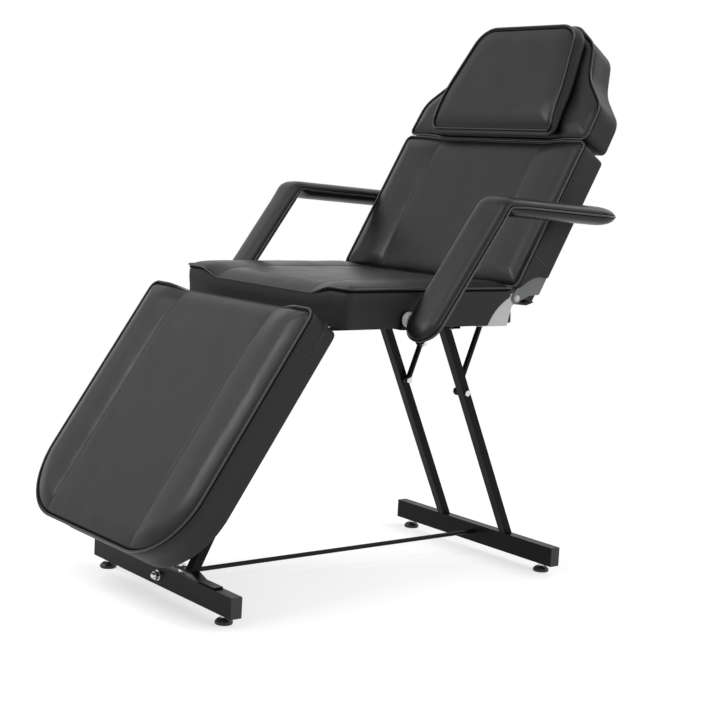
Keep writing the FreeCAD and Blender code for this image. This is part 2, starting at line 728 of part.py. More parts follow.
bracket_bolt = bracket_bolt.fuse([
    hexagon(bolt_start, Vector(-1, 0, 0), bracket_bolt_head_high, bracket_bolt_head),
    hexagon(bolt_start + Vector(bolt_length, 0, 0), Vector(1, 0, 0),
            bracket_bolt_head_high, bracket_bolt_head)]).removeSplitter()
corner_inset = screw_head_radius + screw_margin
for along in (-1, 1):
    for across in (-1, 1):
        place = (stay_spread + across * (bracket_width / 2 - corner_inset),
                 stay_top_flat.y + along * (bracket_length / 2 - corner_inset),
                 back_bottom, plate_thick)
        back_screws.append(both_sides(screw(*place)))
        bracket = bracket.cut(screw_hole(*place))
        back_board = back_board.cut(both_sides(screw_hole(*place)))
parts["stay_brackets"] = tilt_back(both_sides(bracket.removeSplitter()))
parts["stay_bracket_bolts"] = tilt_back(both_sides(bracket_bolt))
parts["back_screws"] = tilt_back(Part.makeCompound(back_screws))
parts["back_board"] = tilt_back(back_board)
parts["head_board"] = tilt_back(head_board)

# Back stays: a tube that turns on the rear leg's bolt and a rod that slides in it.
# A slot in the rod's eye rides the bracket's bolt, which takes up the lost motion.
stay_tube_radius = 6.5
stay_rod_radius = 4.4
stay_tube_length = 225.0
stay_rod_foot = 180.0
stay_eye_radius = 9.0
stay_eye_thick = 7.0
eye_plate_length = 43.0
eye_plate_round = 11.6
eye_plate_width = 24.0
slot_back = 12.5
slot_ahead = 15.0
slot_width = 10.4
spacer_radius = 8.0
stay_way = stay_top - stay_foot
stay_length = stay_way.Length
upright = FreeCAD.Rotation(Vector(0, 0, 1), stay_way)


def along_stay(shape):
    """Move a piece that was built upright on the stay's foot into the stay's line."""
    shape.Placement = FreeCAD.Placement(stay_foot, upright).multiply(shape.Placement)
    return shape


tube = ring(Vector(0, 0, stay_eye_radius), Vector(0, 0, 1), stay_tube_length - stay_eye_radius,
            stay_tube_radius, stay_rod_radius + 2 * running_gap)
stay_eye_half = stay_eye_thick / 2
eye_plate_half = eye_plate_length / 2
eye = round_bar(Vector(-stay_eye_half, 0, 0), Vector(1, 0, 0), stay_eye_thick, stay_eye_radius)
neck = block(-stay_eye_half, stay_eye_half, -stay_tube_radius, stay_tube_radius,
             0, stay_eye_radius + stay_tube_radius)
neck = neck.common(round_bar(Vector(), Vector(0, 0, 1), stay_eye_radius + stay_tube_radius,
                             stay_tube_radius))
stay_tube = tube.fuse([eye, neck]).cut(
    round_bar(Vector(-stay_eye_half - overrun, 0, 0), Vector(1, 0, 0),
              2 * (stay_eye_half + overrun), stay_bolt_radius + running_gap))
stay_tube = along_stay(stay_tube.removeSplitter())

eye_foot = stay_length - eye_plate_half
rod = round_bar(Vector(0, 0, stay_rod_foot), Vector(0, 0, 1),
                eye_foot + stay_rod_radius - stay_rod_foot, stay_rod_radius)
half_plate = eye_plate_width / 2
eye_plate = plate([(-half_plate, eye_foot, bend_radius), (half_plate, eye_foot, bend_radius),
                   (half_plate, stay_length + eye_plate_half, eye_plate_round),
                   (-half_plate, stay_length + eye_plate_half, eye_plate_round)],
                  "yz", -stay_plate_thick / 2, stay_plate_thick / 2)
slot_side = slot_width / 2
slot_round = slot_side * nearly_round_share
slot = plate([(-slot_side, stay_length - slot_back, slot_round),
              (slot_side, stay_length - slot_back, slot_round),
              (slot_side, stay_length + slot_ahead, slot_round),
              (-slot_side, stay_length + slot_ahead, slot_round)],
             "yz", -stay_plate_thick, stay_plate_thick)
stay_rod = along_stay(rod.fuse(eye_plate).cut(slot).removeSplitter())
leg_inside = leg_spread - leg_tube / 2
leg_outside = leg_spread + leg_tube / 2
bolt_in = stay_spread - stay_eye_half
stay_bolt = round_bar(Vector(bolt_in, stay_foot.y, stay_foot.z), Vector(1, 0, 0),
                      leg_outside - bolt_in, stay_bolt_radius)
stay_bolt = stay_bolt.fuse([
    hexagon(Vector(bolt_in, stay_foot.y, stay_foot.z), Vector(-1, 0, 0),
            bracket_bolt_head_high, bracket_bolt_head),
    hexagon(Vector(leg_outside, stay_foot.y, stay_foot.z), Vector(1, 0, 0),
            bracket_bolt_head_high, bracket_bolt_head)]).removeSplitter()
spacer = ring(Vector(stay_spread + stay_eye_half, stay_foot.y, stay_foot.z), Vector(1, 0, 0),
              leg_inside - stay_spread - stay_eye_half, spacer_radius,
              stay_bolt_radius + running_gap)
parts["stay_bolts"] = both_sides(stay_bolt)
parts["stay_spacers"] = both_sides(spacer)
for side_name, side in (("left", 1), ("right", -1)):
    parts["stay_tube_" + side_name] = stay_tube if side == 1 else other_side(stay_tube)
    parts["stay_rod_" + side_name] = stay_rod if side == 1 else other_side(stay_rod)

# Leg rest hinges: a leaf under each board, with three knuckles on a pin each side
knuckle_radius = 6.0
knuckle_bore = 3.0
leaf_width = 64.0
leaf_screw_share = 0.55
knuckle_shares = (-1, -0.36, 0.36, 1)
knuckle_gap = 0.5
leaf_length = 56.0
leaf_clear = 18.0
hinge_spread = 190.0
pin_head_radius = 5.0
pin_head_thick = 2.0
leaf_half = leaf_width / 2
bounds = [hinge_spread + leaf_half * share for share in knuckle_shares]
seat_leaf = block(bounds[0], bounds[3], leg_pivot.y + leaf_clear,
                  leg_pivot.y + leaf_clear + leaf_length, seat_bottom - plate_thick, seat_bottom)
leg_leaf = block(bounds[0], bounds[3], leg_pivot.y - leaf_clear - leaf_length,
                 leg_pivot.y - leaf_clear, leg_bottom - plate_thick, leg_bottom)
pin_bore = round_bar(Vector(bounds[0] - overrun, leg_pivot.y, leg_pivot.z), Vector(1, 0, 0),
                     2 * (leaf_half + overrun), knuckle_bore + running_gap)
for index in range(3):
    low = bounds[index] + (knuckle_gap if index else 0)
    high = bounds[index + 1]
    barrel = round_bar(Vector(low, leg_pivot.y, leg_pivot.z), Vector(1, 0, 0), high - low,
                       knuckle_radius)
    if index == 1:
        high = high - knuckle_gap
        barrel = round_bar(Vector(low, leg_pivot.y, leg_pivot.z), Vector(1, 0, 0), high - low,
                           knuckle_radius)
        tongue = plate([(leg_pivot.y - leaf_clear, leg_bottom - plate_thick, 0),
                        (leg_pivot.y - leaf_clear, leg_bottom, 0),
                        (leg_pivot.y - knuckle_radius, leg_bottom, 0),
                        (leg_pivot.y, leg_pivot.z + knuckle_radius / 2, 0),
                        (leg_pivot.y - knuckle_radius, leg_pivot.z, 0)], "yz", low, high)
        leg_leaf = leg_leaf.fuse([barrel, tongue])
    else:
        tongue = block(low, high, leg_pivot.y, leg_pivot.y + leaf_clear,
                       seat_bottom - plate_thick - knuckle_radius / 2, seat_bottom)
        seat_leaf = seat_leaf.fuse([barrel, tongue])
seat_leaf = seat_leaf.cut(pin_bore)
leg_leaf = leg_leaf.cut(pin_bore)
leg_screws = []
for along in (1, 3):
    y_seat = leg_pivot.y + leaf_clear + leaf_length * along / 4
    y_leg = leg_pivot.y - leaf_clear - leaf_length * along / 4
    for across in (-1, 1):
        x = hinge_spread + across * leaf_half * leaf_screw_share
        seat_place = (x, y_seat, seat_bottom, plate_thick)
        leg_place = (x, y_leg, leg_bottom, plate_thick)
        seat_leaf = seat_leaf.cut(screw_hole(*seat_place))
        leg_leaf = leg_leaf.cut(screw_hole(*leg_place))
        seat_board = seat_board.cut(both_sides(screw_hole(*seat_place)))
        leg_board = leg_board.cut(both_sides(screw_hole(*leg_place)))
        frame_screws.append(both_sides(screw(*seat_place)))
        leg_screws.append(both_sides(screw(*leg_place)))
parts["leg_hinge_seat_leaves"] = both_sides(seat_leaf.removeSplitter())
parts["leg_hinge_leg_leaves"] = tilt_leg(both_sides(leg_leaf.removeSplitter()))
hinge_pin = round_bar(Vector(bounds[0], leg_pivot.y, leg_pivot.z), Vector(1, 0, 0),
                      2 * leaf_half, knuckle_bore)
pin_heads = [round_bar(Vector(x, leg_pivot.y, leg_pivot.z), Vector(way, 0, 0),
                       pin_head_thick, pin_head_radius)
             for x, way in ((bounds[0], -1), (bounds[3], 1))]
parts["leg_hinge_pins"] = both_sides(hinge_pin.fuse(pin_heads).removeSplitter())
parts["leg_board_screws"] = tilt_leg(Part.makeCompound(leg_screws))
parts["leg_board"] = tilt_leg(leg_board)

# Arm mounts: a bent plate under the seat board that stands up beside the cushion
arm_clear = 17.0
arm_width = 86.0
post_thick = 32.0
pad_thick = 34.0
side_gap = 1.0
washer_disc_radius = 16.0
washer_disc_thick = 4.0
mount_width = 34.0
mount_flange = 70.0
mount_screw_inset = 14.0
arm_bolt_radius = 4.0
lock_pin_radius = 2.5
lock_behind = 36.0
lock_drop = 48.0
lock_lug_radius = 6.0
lock_ear_ahead = 4.0
lock_place = Vector(0, lock_behind, -lock_drop)
mount_half = mount_width / 2
mount_in = half_width + side_gap
mount_out = mount_in + plate_thick
arm_in = half_width + arm_clear
arm_middle = arm_in + arm_width / 2
core_in = mount_out + washer_disc_thick
mount_round = mount_half * nearly_round_share
lug_round = lock_lug_radius * nearly_round_share
lock_centre = arm_pivot + lock_place
mount_web = plate([(arm_pivot.y - mount_half, seat_bottom - plate_thick, 0),
                   (arm_pivot.y + mount_half, seat_bottom - plate_thick, 0),
                   (arm_pivot.y + mount_half, arm_pivot.z + mount_half, mount_round),
                   (arm_pivot.y - mount_half, arm_pivot.z + mount_half, mount_round)],
                  "yz", mount_in, mount_out)
lock_ear = plate([(arm_pivot.y + lock_ear_ahead, seat_bottom - plate_thick, 0),
                  (lock_centre.y - lock_lug_radius, lock_centre.z - lock_lug_radius, 0),
                  (lock_centre.y + lock_lug_radius, lock_centre.z - lock_lug_radius, lug_round),
                  (lock_centre.y + lock_lug_radius, seat_bottom - plate_thick, 0)],
                 "yz", mount_in, mount_out)
mount_foot = block(mount_out - mount_flange, mount_out, arm_pivot.y - mount_half,
                   lock_centre.y + lock_lug_radius, seat_bottom - plate_thick, seat_bottom)
arm_mount = mount_web.fuse([lock_ear, mount_foot])
arm_mount = arm_mount.cut(round_bar(Vector(mount_in - overrun, arm_pivot.y, arm_pivot.z),
                                    Vector(1, 0, 0), plate_thick + 2 * overrun,
                                    arm_bolt_radius + running_gap))
arm_mount = arm_mount.cut(round_bar(Vector(mount_in - overrun, lock_centre.y, lock_centre.z),
                                    Vector(1, 0, 0), plate_thick + 2 * overrun,
                                    lock_pin_radius + running_gap))
for y in (arm_pivot.y, lock_centre.y):
    place = (mount_out - mount_flange + mount_screw_inset, y, seat_bottom, plate_thick)
    arm_mount = arm_mount.cut(screw_hole(*place))
    seat_board = seat_board.cut(both_sides(screw_hole(*place)))
    frame_screws.append(both_sides(screw(*place)))
parts["arm_mount_plates"] = both_sides(arm_mount.removeSplitter())
parts["seat_board_screws"] = Part.makeCompound(frame_screws)
parts["arm_washers"] = both_sides(ring(Vector(mount_out, arm_pivot.y, arm_pivot.z),
                                       Vector(1, 0, 0), washer_disc_thick, washer_disc_radius,
                                       arm_bolt_radius + running_gap))
parts["seat_board"] = seat_board

# Arm core: a steel bar bent like the arm, with a boss on the pivot and a lug for the lock pin
core_thick = 6.0
core_width = 16.0
core_cover = 12.0
core_plane = arm_in + core_cover
core_end_share = 0.8
boss_outer = 8.5
lug_thick = 4.0
arm_nut_across = 13.0
arm_nut_high = 6.5
post_way = Vector(0, math.cos(math.radians(post_tilt)), math.sin(math.radians(post_tilt)))
post_normal = Vector(0, -post_way.z, post_way.y)
pad_way = Vector(0, math.cos(math.radians(arm_pad_fall)), -math.sin(math.radians(arm_pad_fall)))
pad_normal = Vector(0, -pad_way.z, pad_way.y)
post_length = 290.0
pad_length = 335.0
elbow = arm_pivot + post_way * post_length


def meet(first, first_way, second, second_way):
    """Where two lines in the side plane cross."""
    gap = second - first
    turn = first_way.y * second_way.z - first_way.z * second_way.y
    run = (gap.y * second_way.z - gap.z * second_way.y) / turn
    return first + first_way * run


def offset_elbow(post_offset, pad_offset):
    """Corner where the post's and the pad's faces meet, at these offsets from their middles."""
    return meet(arm_pivot + post_normal * post_offset, post_way,
                elbow + pad_normal * pad_offset, pad_way)


def arm_strip(half, far, extra):
    """Side outline of a bar of even width that runs up the post and out along the pad."""
    outer = offset_elbow(half, half)
    inner = offset_elbow(-half, -half)
    low_outer = arm_pivot + post_normal * half - post_way * extra
    low_inner = arm_pivot - post_normal * half - post_way * extra
    far_outer = elbow + pad_way * far + pad_normal * half
    far_inner = elbow + pad_way * far - pad_normal * half
    points = (low_outer, low_inner, inner, far_inner, far_outer, outer)
    return [(p.y, p.z, 0) for p in points]


core_bar = plate(arm_strip(core_width / 2, pad_length * core_end_share, 0), "yz",
                 core_plane, core_plane + core_thick)
core_boss = round_bar(Vector(core_in, arm_pivot.y, arm_pivot.z), Vector(1, 0, 0),
                      core_plane + core_thick - core_in, boss_outer)
lug_way = Vector(lock_place).normalize()
lug_side = Vector(0, -lug_way.z, lug_way.y)
lug_points = [arm_pivot + lug_side * lock_lug_radius, arm_pivot - lug_side * lock_lug_radius,
              lock_centre + lug_way * lock_lug_radius - lug_side * lock_lug_radius,
              lock_centre + lug_way * lock_lug_radius + lug_side * lock_lug_radius]
lug_radii = (0, 0, lug_round, lug_round)
lug = plate([(p.y, p.z, radius) for p, radius in zip(lug_points, lug_radii)], "yz",
            core_in, core_in + lug_thick)
arm_core = core_bar.fuse([core_boss, lug])
arm_bore = round_bar(Vector(core_in - overrun, arm_pivot.y, arm_pivot.z), Vector(1, 0, 0),
                     arm_width, arm_bolt_radius + running_gap)
lock_bore = round_bar(Vector(core_in - overrun, lock_centre.y, lock_centre.z), Vector(1, 0, 0),
                      lug_thick + 2 * overrun, lock_pin_radius + running_gap)
arm_core = arm_core.cut(arm_bore).cut(lock_bore).removeSplitter()
bolt_end = core_plane + core_thick + arm_nut_high
arm_bolt = round_bar(Vector(mount_in, arm_pivot.y, arm_pivot.z), Vector(1, 0, 0),
                     bolt_end - mount_in, arm_bolt_radius)
arm_nut = hexagon(Vector(core_plane + core_thick, arm_pivot.y, arm_pivot.z), Vector(1, 0, 0),
                  arm_nut_high, arm_nut_across)
parts["arm_pivot_bolts"] = both_sides(arm_bolt.fuse(arm_nut).removeSplitter())

# Lock pin: a sprung pin with a knob, which holds the arm's lug to the mount plate
knob_radius = 4.5
knob_length = 8.0
pin_start = Vector(mount_in, lock_centre.y, lock_centre.z)
lock_pin = round_bar(pin_start, Vector(1, 0, 0), core_in + lug_thick - mount_in + knob_length / 2,
                     lock_pin_radius)
lock_knob = round_bar(Vector(core_in + lug_thick + soft_gap, lock_centre.y, lock_centre.z),
                      Vector(1, 0, 0), knob_length, knob_radius)
lock_knob = lock_knob.makeChamfer(knob_radius / 6, [lock_knob.Edges[0], lock_knob.Edges[2]])
lock_pin = lock_pin.fuse(lock_knob).removeSplitter()

# Arm pads: a padded post with a round foot, and a padded rest with a rounded tip
width_shares = (-1, -0.9, -0.7, -0.4, 0, 0.4, 0.7, 0.9, 1)
post_edge = 5.5
pad_edge = 11.0
elbow_radius = 22.0
split_lean = 22.0
tip_taper = 26.0
tip_radius = 5.0
tip_edge_radius = 12.0
post_foot_round = 9.0
seam_round = 1.5
inner_elbow = offset_elbow(-post_thick / 2, -pad_thick / 2)
outer_elbow = offset_elbow(post_thick / 2, pad_thick / 2)
split_top = meet(inner_elbow, Vector(0, split_lean, pad_thick).normalize(),
                 elbow + pad_normal * (pad_thick / 2), pad_way)
post_foot = arm_pivot - post_way * (arm_width / 2)
post_outline = [(p.y, p.z, radius) for p, radius in (
    (post_foot + post_normal * (post_thick / 2), post_foot_round),
    (post_foot - post_normal * (post_thick / 2), post_foot_round),
    (inner_elbow, seam_round), (split_top, seam_round), (outer_elbow, elbow_radius))]
pad_end = elbow + pad_way * pad_length
pad_outline = [(p.y, p.z, radius) for p, radius in (
    (inner_elbow + pad_way * soft_gap, seam_round),
    (pad_end - pad_way * tip_taper - pad_normal * (pad_thick / 2), tip_edge_radius),
    (pad_end, tip_radius),
    (pad_end - pad_way * tip_taper + pad_normal * (pad_thick / 2), tip_edge_radius),
    (split_top + pad_way * soft_gap, seam_round))]


def arm_rows(edge):
    """Levels across the arm's width; the side outline draws in by edge at both its sides."""
    return [(arm_middle + share * arm_width / 2, edge * (1 - math.sqrt(1 - share * share)))
            for share in width_shares]


def face_prism(start, way, normal, length, near_radius, far_radius):
    """Outline of an arm part seen square to its face, as a deep prism."""
    half = arm_width / 2
    flat = plate([(-half, 0, near_radius), (half, 0, near_radius),
                  (half, length, far_radius), (-half, length, far_radius)],
                 "xy", -arm_width, arm_width)
    turn = FreeCAD.Rotation(Vector(1, 0, 0), way, normal, "XYZ")
    flat.Placement = FreeCAD.Placement(start + Vector(arm_middle, 0, 0), turn)
    return flat


round_foot = arm_width / 2 * nearly_round_share
post_pad = stacked(post_outline, "yz", arm_rows(post_edge))
post_pad = post_pad.common(face_prism(post_foot, post_way, post_normal,
                                      post_length + arm_width, round_foot, overrun))
top_pad = stacked(pad_outline, "yz", arm_rows(pad_edge))
top_pad = top_pad.common(face_prism(elbow - pad_way * arm_width, pad_way, pad_normal,
                                    pad_length + arm_width, overrun, round_foot))
grown = plate(arm_strip(core_width / 2 + soft_gap, pad_length * core_end_share + soft_gap,
                        soft_gap), "yz", core_plane - soft_gap, core_plane + core_thick + soft_gap)
boss_room = round_bar(Vector(core_in, arm_pivot.y, arm_pivot.z), Vector(1, 0, 0),
                      core_plane + core_thick + arm_nut_high + soft_gap - core_in,
                      boss_outer + soft_gap)
post_pad = post_pad.cut(grown).cut(boss_room)
top_pad = top_pad.cut(grown)
for side_name, side in (("left", 1), ("right", -1)):
    for piece_name, piece in (("arm_core_", arm_core), ("arm_lock_pin_", lock_pin),
                              ("arm_post_pad_", post_pad), ("arm_top_pad_", top_pad)):
        parts[piece_name + side_name] = piece if side == 1 else other_side(piece)

# The whole chair moves along Y, so that its origin is under the middle of its box
low_y = min(shape.BoundBox.YMin for shape in parts.values())
high_y = max(shape.BoundBox.YMax for shape in parts.values())
shift = Vector(0, -(low_y + high_y) / 2, 0)
for name, shape in sorted(parts.items()):
    shape.translate(shift)
    solids = shape.Solids
    sound = all(solid.isValid() and solid.Volume > 0 for solid in solids)
    print("%-28s solids %2d  valid %s  volume %.1f cm3" % (
        name, len(solids), sound, sum(solid.Volume for solid in solids) / 1000))
    piece = solids[0] if len(solids) == 1 else Part.makeCompound(solids)
    piece.exportStep("parts/%s.step" % name)

stay_ends = (stay_foot, stay_top)
for label, point in (("back_pivot", back_pivot), ("leg_pivot", leg_pivot),
                     ("arm_pivot", arm_pivot), ("stay_foot", stay_foot),
                     ("stay_top", stay_top), ("lock_centre", lock_centre)):
    place = point + shift
    print("axis %s %.4f %.4f %.4f" % (label, place.x, place.y, place.z))
print("shift %.4f" % shift.y)
print("bars %.4f %.4f" % (-front_bar_ahead + shift.y, rear_bar_back + shift.y))
print("nodes", len(parts))
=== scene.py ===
import json
import math

import bmesh
import bpy
import numpy as np
from mathutils import Matrix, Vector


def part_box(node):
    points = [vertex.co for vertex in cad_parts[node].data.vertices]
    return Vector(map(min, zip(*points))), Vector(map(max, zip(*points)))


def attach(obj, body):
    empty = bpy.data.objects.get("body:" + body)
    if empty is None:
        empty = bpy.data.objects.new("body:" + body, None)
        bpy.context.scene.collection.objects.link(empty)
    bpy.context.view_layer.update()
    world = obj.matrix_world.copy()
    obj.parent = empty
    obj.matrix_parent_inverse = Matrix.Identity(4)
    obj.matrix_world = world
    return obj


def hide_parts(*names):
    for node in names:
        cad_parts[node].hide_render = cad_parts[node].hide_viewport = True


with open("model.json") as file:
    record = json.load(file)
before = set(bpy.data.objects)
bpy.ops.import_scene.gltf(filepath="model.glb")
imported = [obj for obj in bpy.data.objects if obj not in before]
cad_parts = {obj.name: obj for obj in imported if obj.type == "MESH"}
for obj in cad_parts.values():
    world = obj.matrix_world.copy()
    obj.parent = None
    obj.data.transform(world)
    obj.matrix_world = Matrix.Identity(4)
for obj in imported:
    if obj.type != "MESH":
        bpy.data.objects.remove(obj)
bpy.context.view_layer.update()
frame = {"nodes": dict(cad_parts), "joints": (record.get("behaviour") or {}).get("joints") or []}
joints = {joint["name"]: joint for joint in frame["joints"]}

# Seat cushion: a foam slab on a plywood board in a cover of black PU leather. Two raised
# bolsters run along its sides, the middle panel lies lower, and a welt is sewn round its top.
# The cover is pulled over the foam and stapled under the board.
cushion_level = 0.656
half_width = 0.300
valley_half = 0.170
crest_half = 0.236
crease_deep, crease_wide = 0.0014, 0.006
dip_half, dip_fade = 0.165, 0.080
welt_radius = 0.0023
recess_side, fold_side = 0.282, 0.2815
seat_low, seat_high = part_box("seat_cushion")


def linear(colour):
    """Turns an sRGB hex colour into the linear RGBA that a shader socket takes."""
    channels = [int(colour[i:i + 2], 16) / 255 for i in (1, 3, 5)]
    return [c / 12.92 if c <= 0.04045 else ((c + 0.055) / 1.055) ** 2.4 for c in channels] + [1]


def add_node(tree, kind, inputs=None, **settings):
    """Adds one node, with its settings, and with a value or a link for each named input."""
    node = tree.nodes.new(kind)
    for name, value in settings.items():
        setattr(node, name, value)
    for name, value in (inputs or {}).items():
        if isinstance(value, bpy.types.NodeSocket):
            tree.links.new(value, node.inputs[name])
        else:
            node.inputs[name].default_value = value
    return node


def new_material(name):
    """An empty material: its tree and its Principled shader, joined to the output."""
    material = bpy.data.materials.new(name)
    material.use_nodes = True
    tree = material.node_tree
    shader = tree.nodes["Principled BSDF"]
    return material, tree, shader


def ramp_between(tree, factor, dark, light):
    """A colour that goes from dark to light as the factor, a noise, goes from 0.3 to 0.7."""
    node = add_node(tree, "ShaderNodeValToRGB", {"Fac": factor})
    for stop, position, colour in zip(node.color_ramp.elements, (0.3, 0.7), (dark, light)):
        stop.position = position
        stop.color = linear(colour)
    return node.outputs["Color"]


def range_between(tree, value, low, high, start, end):
    """A number that goes from start to end as the value goes from low to high."""
    node = add_node(tree, "ShaderNodeMapRange", {"Value": value, "From Min": low, "From Max": high,
                                                 "To Min": start, "To Max": end})
    return node.outputs["Result"]


def pu_leather(name, dark, light, smooth, rough, grain, gloss=0.28):
    """PU leather on knitted backing, embossed with a fine pebble. The pebble is 1.5 mm on the
    real one and is drawn at the given size, so that it shows. Hand-pulled foam gives a faint
    slow waviness, and the top coat wears from smooth to rough in patches."""
    material, tree, shader = new_material(name)
    place = add_node(tree, "ShaderNodeTexCoord").outputs["Object"]
    patches = add_node(tree, "ShaderNodeTexNoise", {"Vector": place, "Scale": 14.0, "Detail": 4.0,
                                                    "Roughness": 0.55}).outputs["Fac"]
    waves = add_node(tree, "ShaderNodeTexNoise", {"Vector": place, "Scale": 26.0, "Detail": 2.0,
                                                  "Roughness": 0.4}).outputs["Fac"]
    pebbles = add_node(tree, "ShaderNodeTexVoronoi", {"Vector": place, "Scale": 1 / grain,
                                                      "Randomness": 0.9},
                       feature="SMOOTH_F1").outputs["Distance"]
    slow = add_node(tree, "ShaderNodeBump", {"Height": waves, "Strength": 0.5,
                                             "Distance": 0.0009})
    fine = add_node(tree, "ShaderNodeBump", {"Height": pebbles, "Strength": 0.5,
                                             "Distance": 0.0004, "Normal": slow.outputs[0]})
    tree.links.new(ramp_between(tree, patches, dark, light), shader.inputs["Base Color"])
    tree.links.new(range_between(tree, patches, 0.35, 0.65, smooth, rough),
                   shader.inputs["Roughness"])
    tree.links.new(fine.outputs["Normal"], shader.inputs["Normal"])
    shader.inputs["IOR"].default_value = 1.5
    shader.inputs["Specular IOR Level"].default_value = gloss
    return material


# The tops and sleeves have a satin face. The side strips are rougher and painted lighter than the
# tops, as painted light; the welt's strip is glossier and painted lighter as a painted highlight;
# and the stitch grooves get near-black lines of painted shade.
leather = pu_leather("pu_leather_black", "#151517", "#1b1b1d", 0.34, 0.40, 0.0024)
side_strip_painted_light = pu_leather("pu_leather_side_strip_painted_light", "#1f1f21", "#252527", 0.56, 0.64, 0.0020)
welt_painted_highlight = pu_leather("pu_leather_welt_painted_highlight", "#242426", "#2b2b2c", 0.30, 0.36, 0.0016, gloss=0.5)
stitch_painted_shade = pu_leather("stitch_groove_painted_shade", "#030303", "#050505", 0.65, 0.75, 0.0016,
                            gloss=0.05)


def rounded_outline(corners, spacing=0.003):
    """Closed counter-clockwise outline through corners (x, y, radius): at each corner the
    outline leaves its straight run and follows an arc that touches both runs."""
    c = np.array(corners, float)
    points = []
    for k in range(len(c)):
        here, radius = c[k, :2], c[k, 2]
        back = c[k - 1, :2] - here
        ahead = c[(k + 1) % len(c), :2] - here
        back, ahead = back / np.linalg.norm(back), ahead / np.linalg.norm(ahead)
        half = 0.5 * math.acos(np.clip(back @ ahead, -1, 1))
        centre = here + (back + ahead) / np.linalg.norm(back + ahead) * radius / math.sin(half)
        start = here + back * radius / math.tan(half) - centre
        end = here + ahead * radius / math.tan(half) - centre
        first = math.atan2(start[1], start[0])
        turn = (math.atan2(end[1], end[0]) - first + math.pi) % (2 * math.pi) - math.pi
        angles = first + turn * np.linspace(0, 1, max(3, int(abs(turn) * radius / spacing)))
        points.append(centre + radius * np.stack([np.cos(angles), np.sin(angles)], 1))
    return np.concatenate(points)


def mirrored_outline(corners):
    """The closed outline through these corners of the right-hand side, from its low end to its
    high end, and through their mirror images."""
    return rounded_outline(corners + [(-x, y, radius) for x, y, radius in reversed(corners)])


def right_edge(outline, spacing):
    """Right-hand side of a symmetric outline, from its low end to its high end, as points at
    an even spacing along it."""
    side = outline[outline[:, 0] > 0]
    run = np.concatenate([[0], np.cumsum(np.linalg.norm(np.diff(side, axis=0), axis=1))])
    even = np.linspace(0, run[-1], int(run[-1] / spacing) + 1)
    return np.stack([np.interp(even, run, side[:, 0]), np.interp(even, run, side[:, 1])], 1)


def edge_distance(x, y, outline):
    """Distance from each point to the nearest run of the closed outline."""
    points = np.stack([x.ravel(), y.ravel()], 1)
    a = outline
    ab = np.roll(outline, -1, axis=0) - outline
    length = np.maximum((ab ** 2).sum(1), 1e-12)
    nearest = np.empty(len(points))
    for block in np.array_split(np.arange(len(points)), max(1, len(points) // 2000)):
        ap = points[block, None, :] - a[None]
        t = np.clip((ap * ab).sum(2) / length, 0, 1)
        nearest[block] = np.sqrt((((ap - t[..., None] * ab) ** 2).sum(2)).min(1))
    return nearest.reshape(x.shape)


def grid_faces(ids, rings=False):
    """Quads between the rows of a grid of vertex numbers. Where the rows are rings, each one's
    last vertex is joined to its first."""
    if rings:
        ids = np.hstack([ids, ids[:, :1]])
    return np.stack([ids[:-1, :-1], ids[1:, :-1], ids[1:, 1:], ids[:-1, 1:]], -1).reshape(-1, 4)


def smooth_step(value):
    """0 below 0, 1 above 1, and a smooth S between them."""
    t = np.clip(value, 0, 1)
    return t * t * (3 - 2 * t)


def into_scene(name, data):
    """A new object in the scene for this mesh, light or camera."""
    made = bpy.data.objects.new(name, data)
    bpy.context.scene.collection.objects.link(made)
    return made


def new_piece(name, vertices, faces, material):
    """A smooth-shaded mesh object from arrays, with its material."""
    mesh = bpy.data.meshes.new(name)
    mesh.from_pydata(vertices.tolist(), [], faces.tolist())
    mesh.polygons.foreach_set("use_smooth", np.ones(len(mesh.polygons), bool))
    mesh.materials.append(material)
    mesh.update()
    piece = into_scene(name, mesh)
    return piece


def close_doubles(mesh, distance, flat_angle=0.0):
    """Merges vertices that lie together, so seams and poles are closed, melts the edges
    between faces that are flat to the angle, and turns the faces outward."""
    whole = bmesh.new()
    whole.from_mesh(mesh)
    bmesh.ops.remove_doubles(whole, verts=whole.verts, dist=distance)
    if flat_angle:
        bmesh.ops.dissolve_limit(whole, angle_limit=math.radians(flat_angle),
                                 verts=whole.verts, edges=whole.edges)
    bmesh.ops.recalc_face_normals(whole, faces=whole.faces)
    whole.to_mesh(mesh)
    whole.free()


def waviness(x, y):
    """Slow unevenness of hand-laid foam: three crossed sine waves, 70 to 160 mm long."""
    return 0.0002 * (np.sin(61 * x + 23 * y) + np.sin(39 * y - 17 * x + 2.0)
                     + np.sin(85 * y + 44 * x + 4.0) * np.sin(31 * x + 1.0))


climb_power = 1.7
groove_deep, groove_wide, groove_in = 0.0024, 0.0026, 0.0042
side_groove_deep, hem_turn, bottom_sink = 0.0020, 0.003, 0.002
welt_out, welt_up = 0.0014, 0.0016
stitch_in, stitch_sink, side_stitch_in = 0.0038, 0.0022, 0.0012


def side_swell(share):
    """How far a slack side stands out at this share of the way down from its welt: one S up to
    0.4 of the way, and another back down to nothing at 0.9."""
    return 0.0035 * smooth_step(share / 0.4) * (1 - smooth_step((share - 0.4) / 0.5))


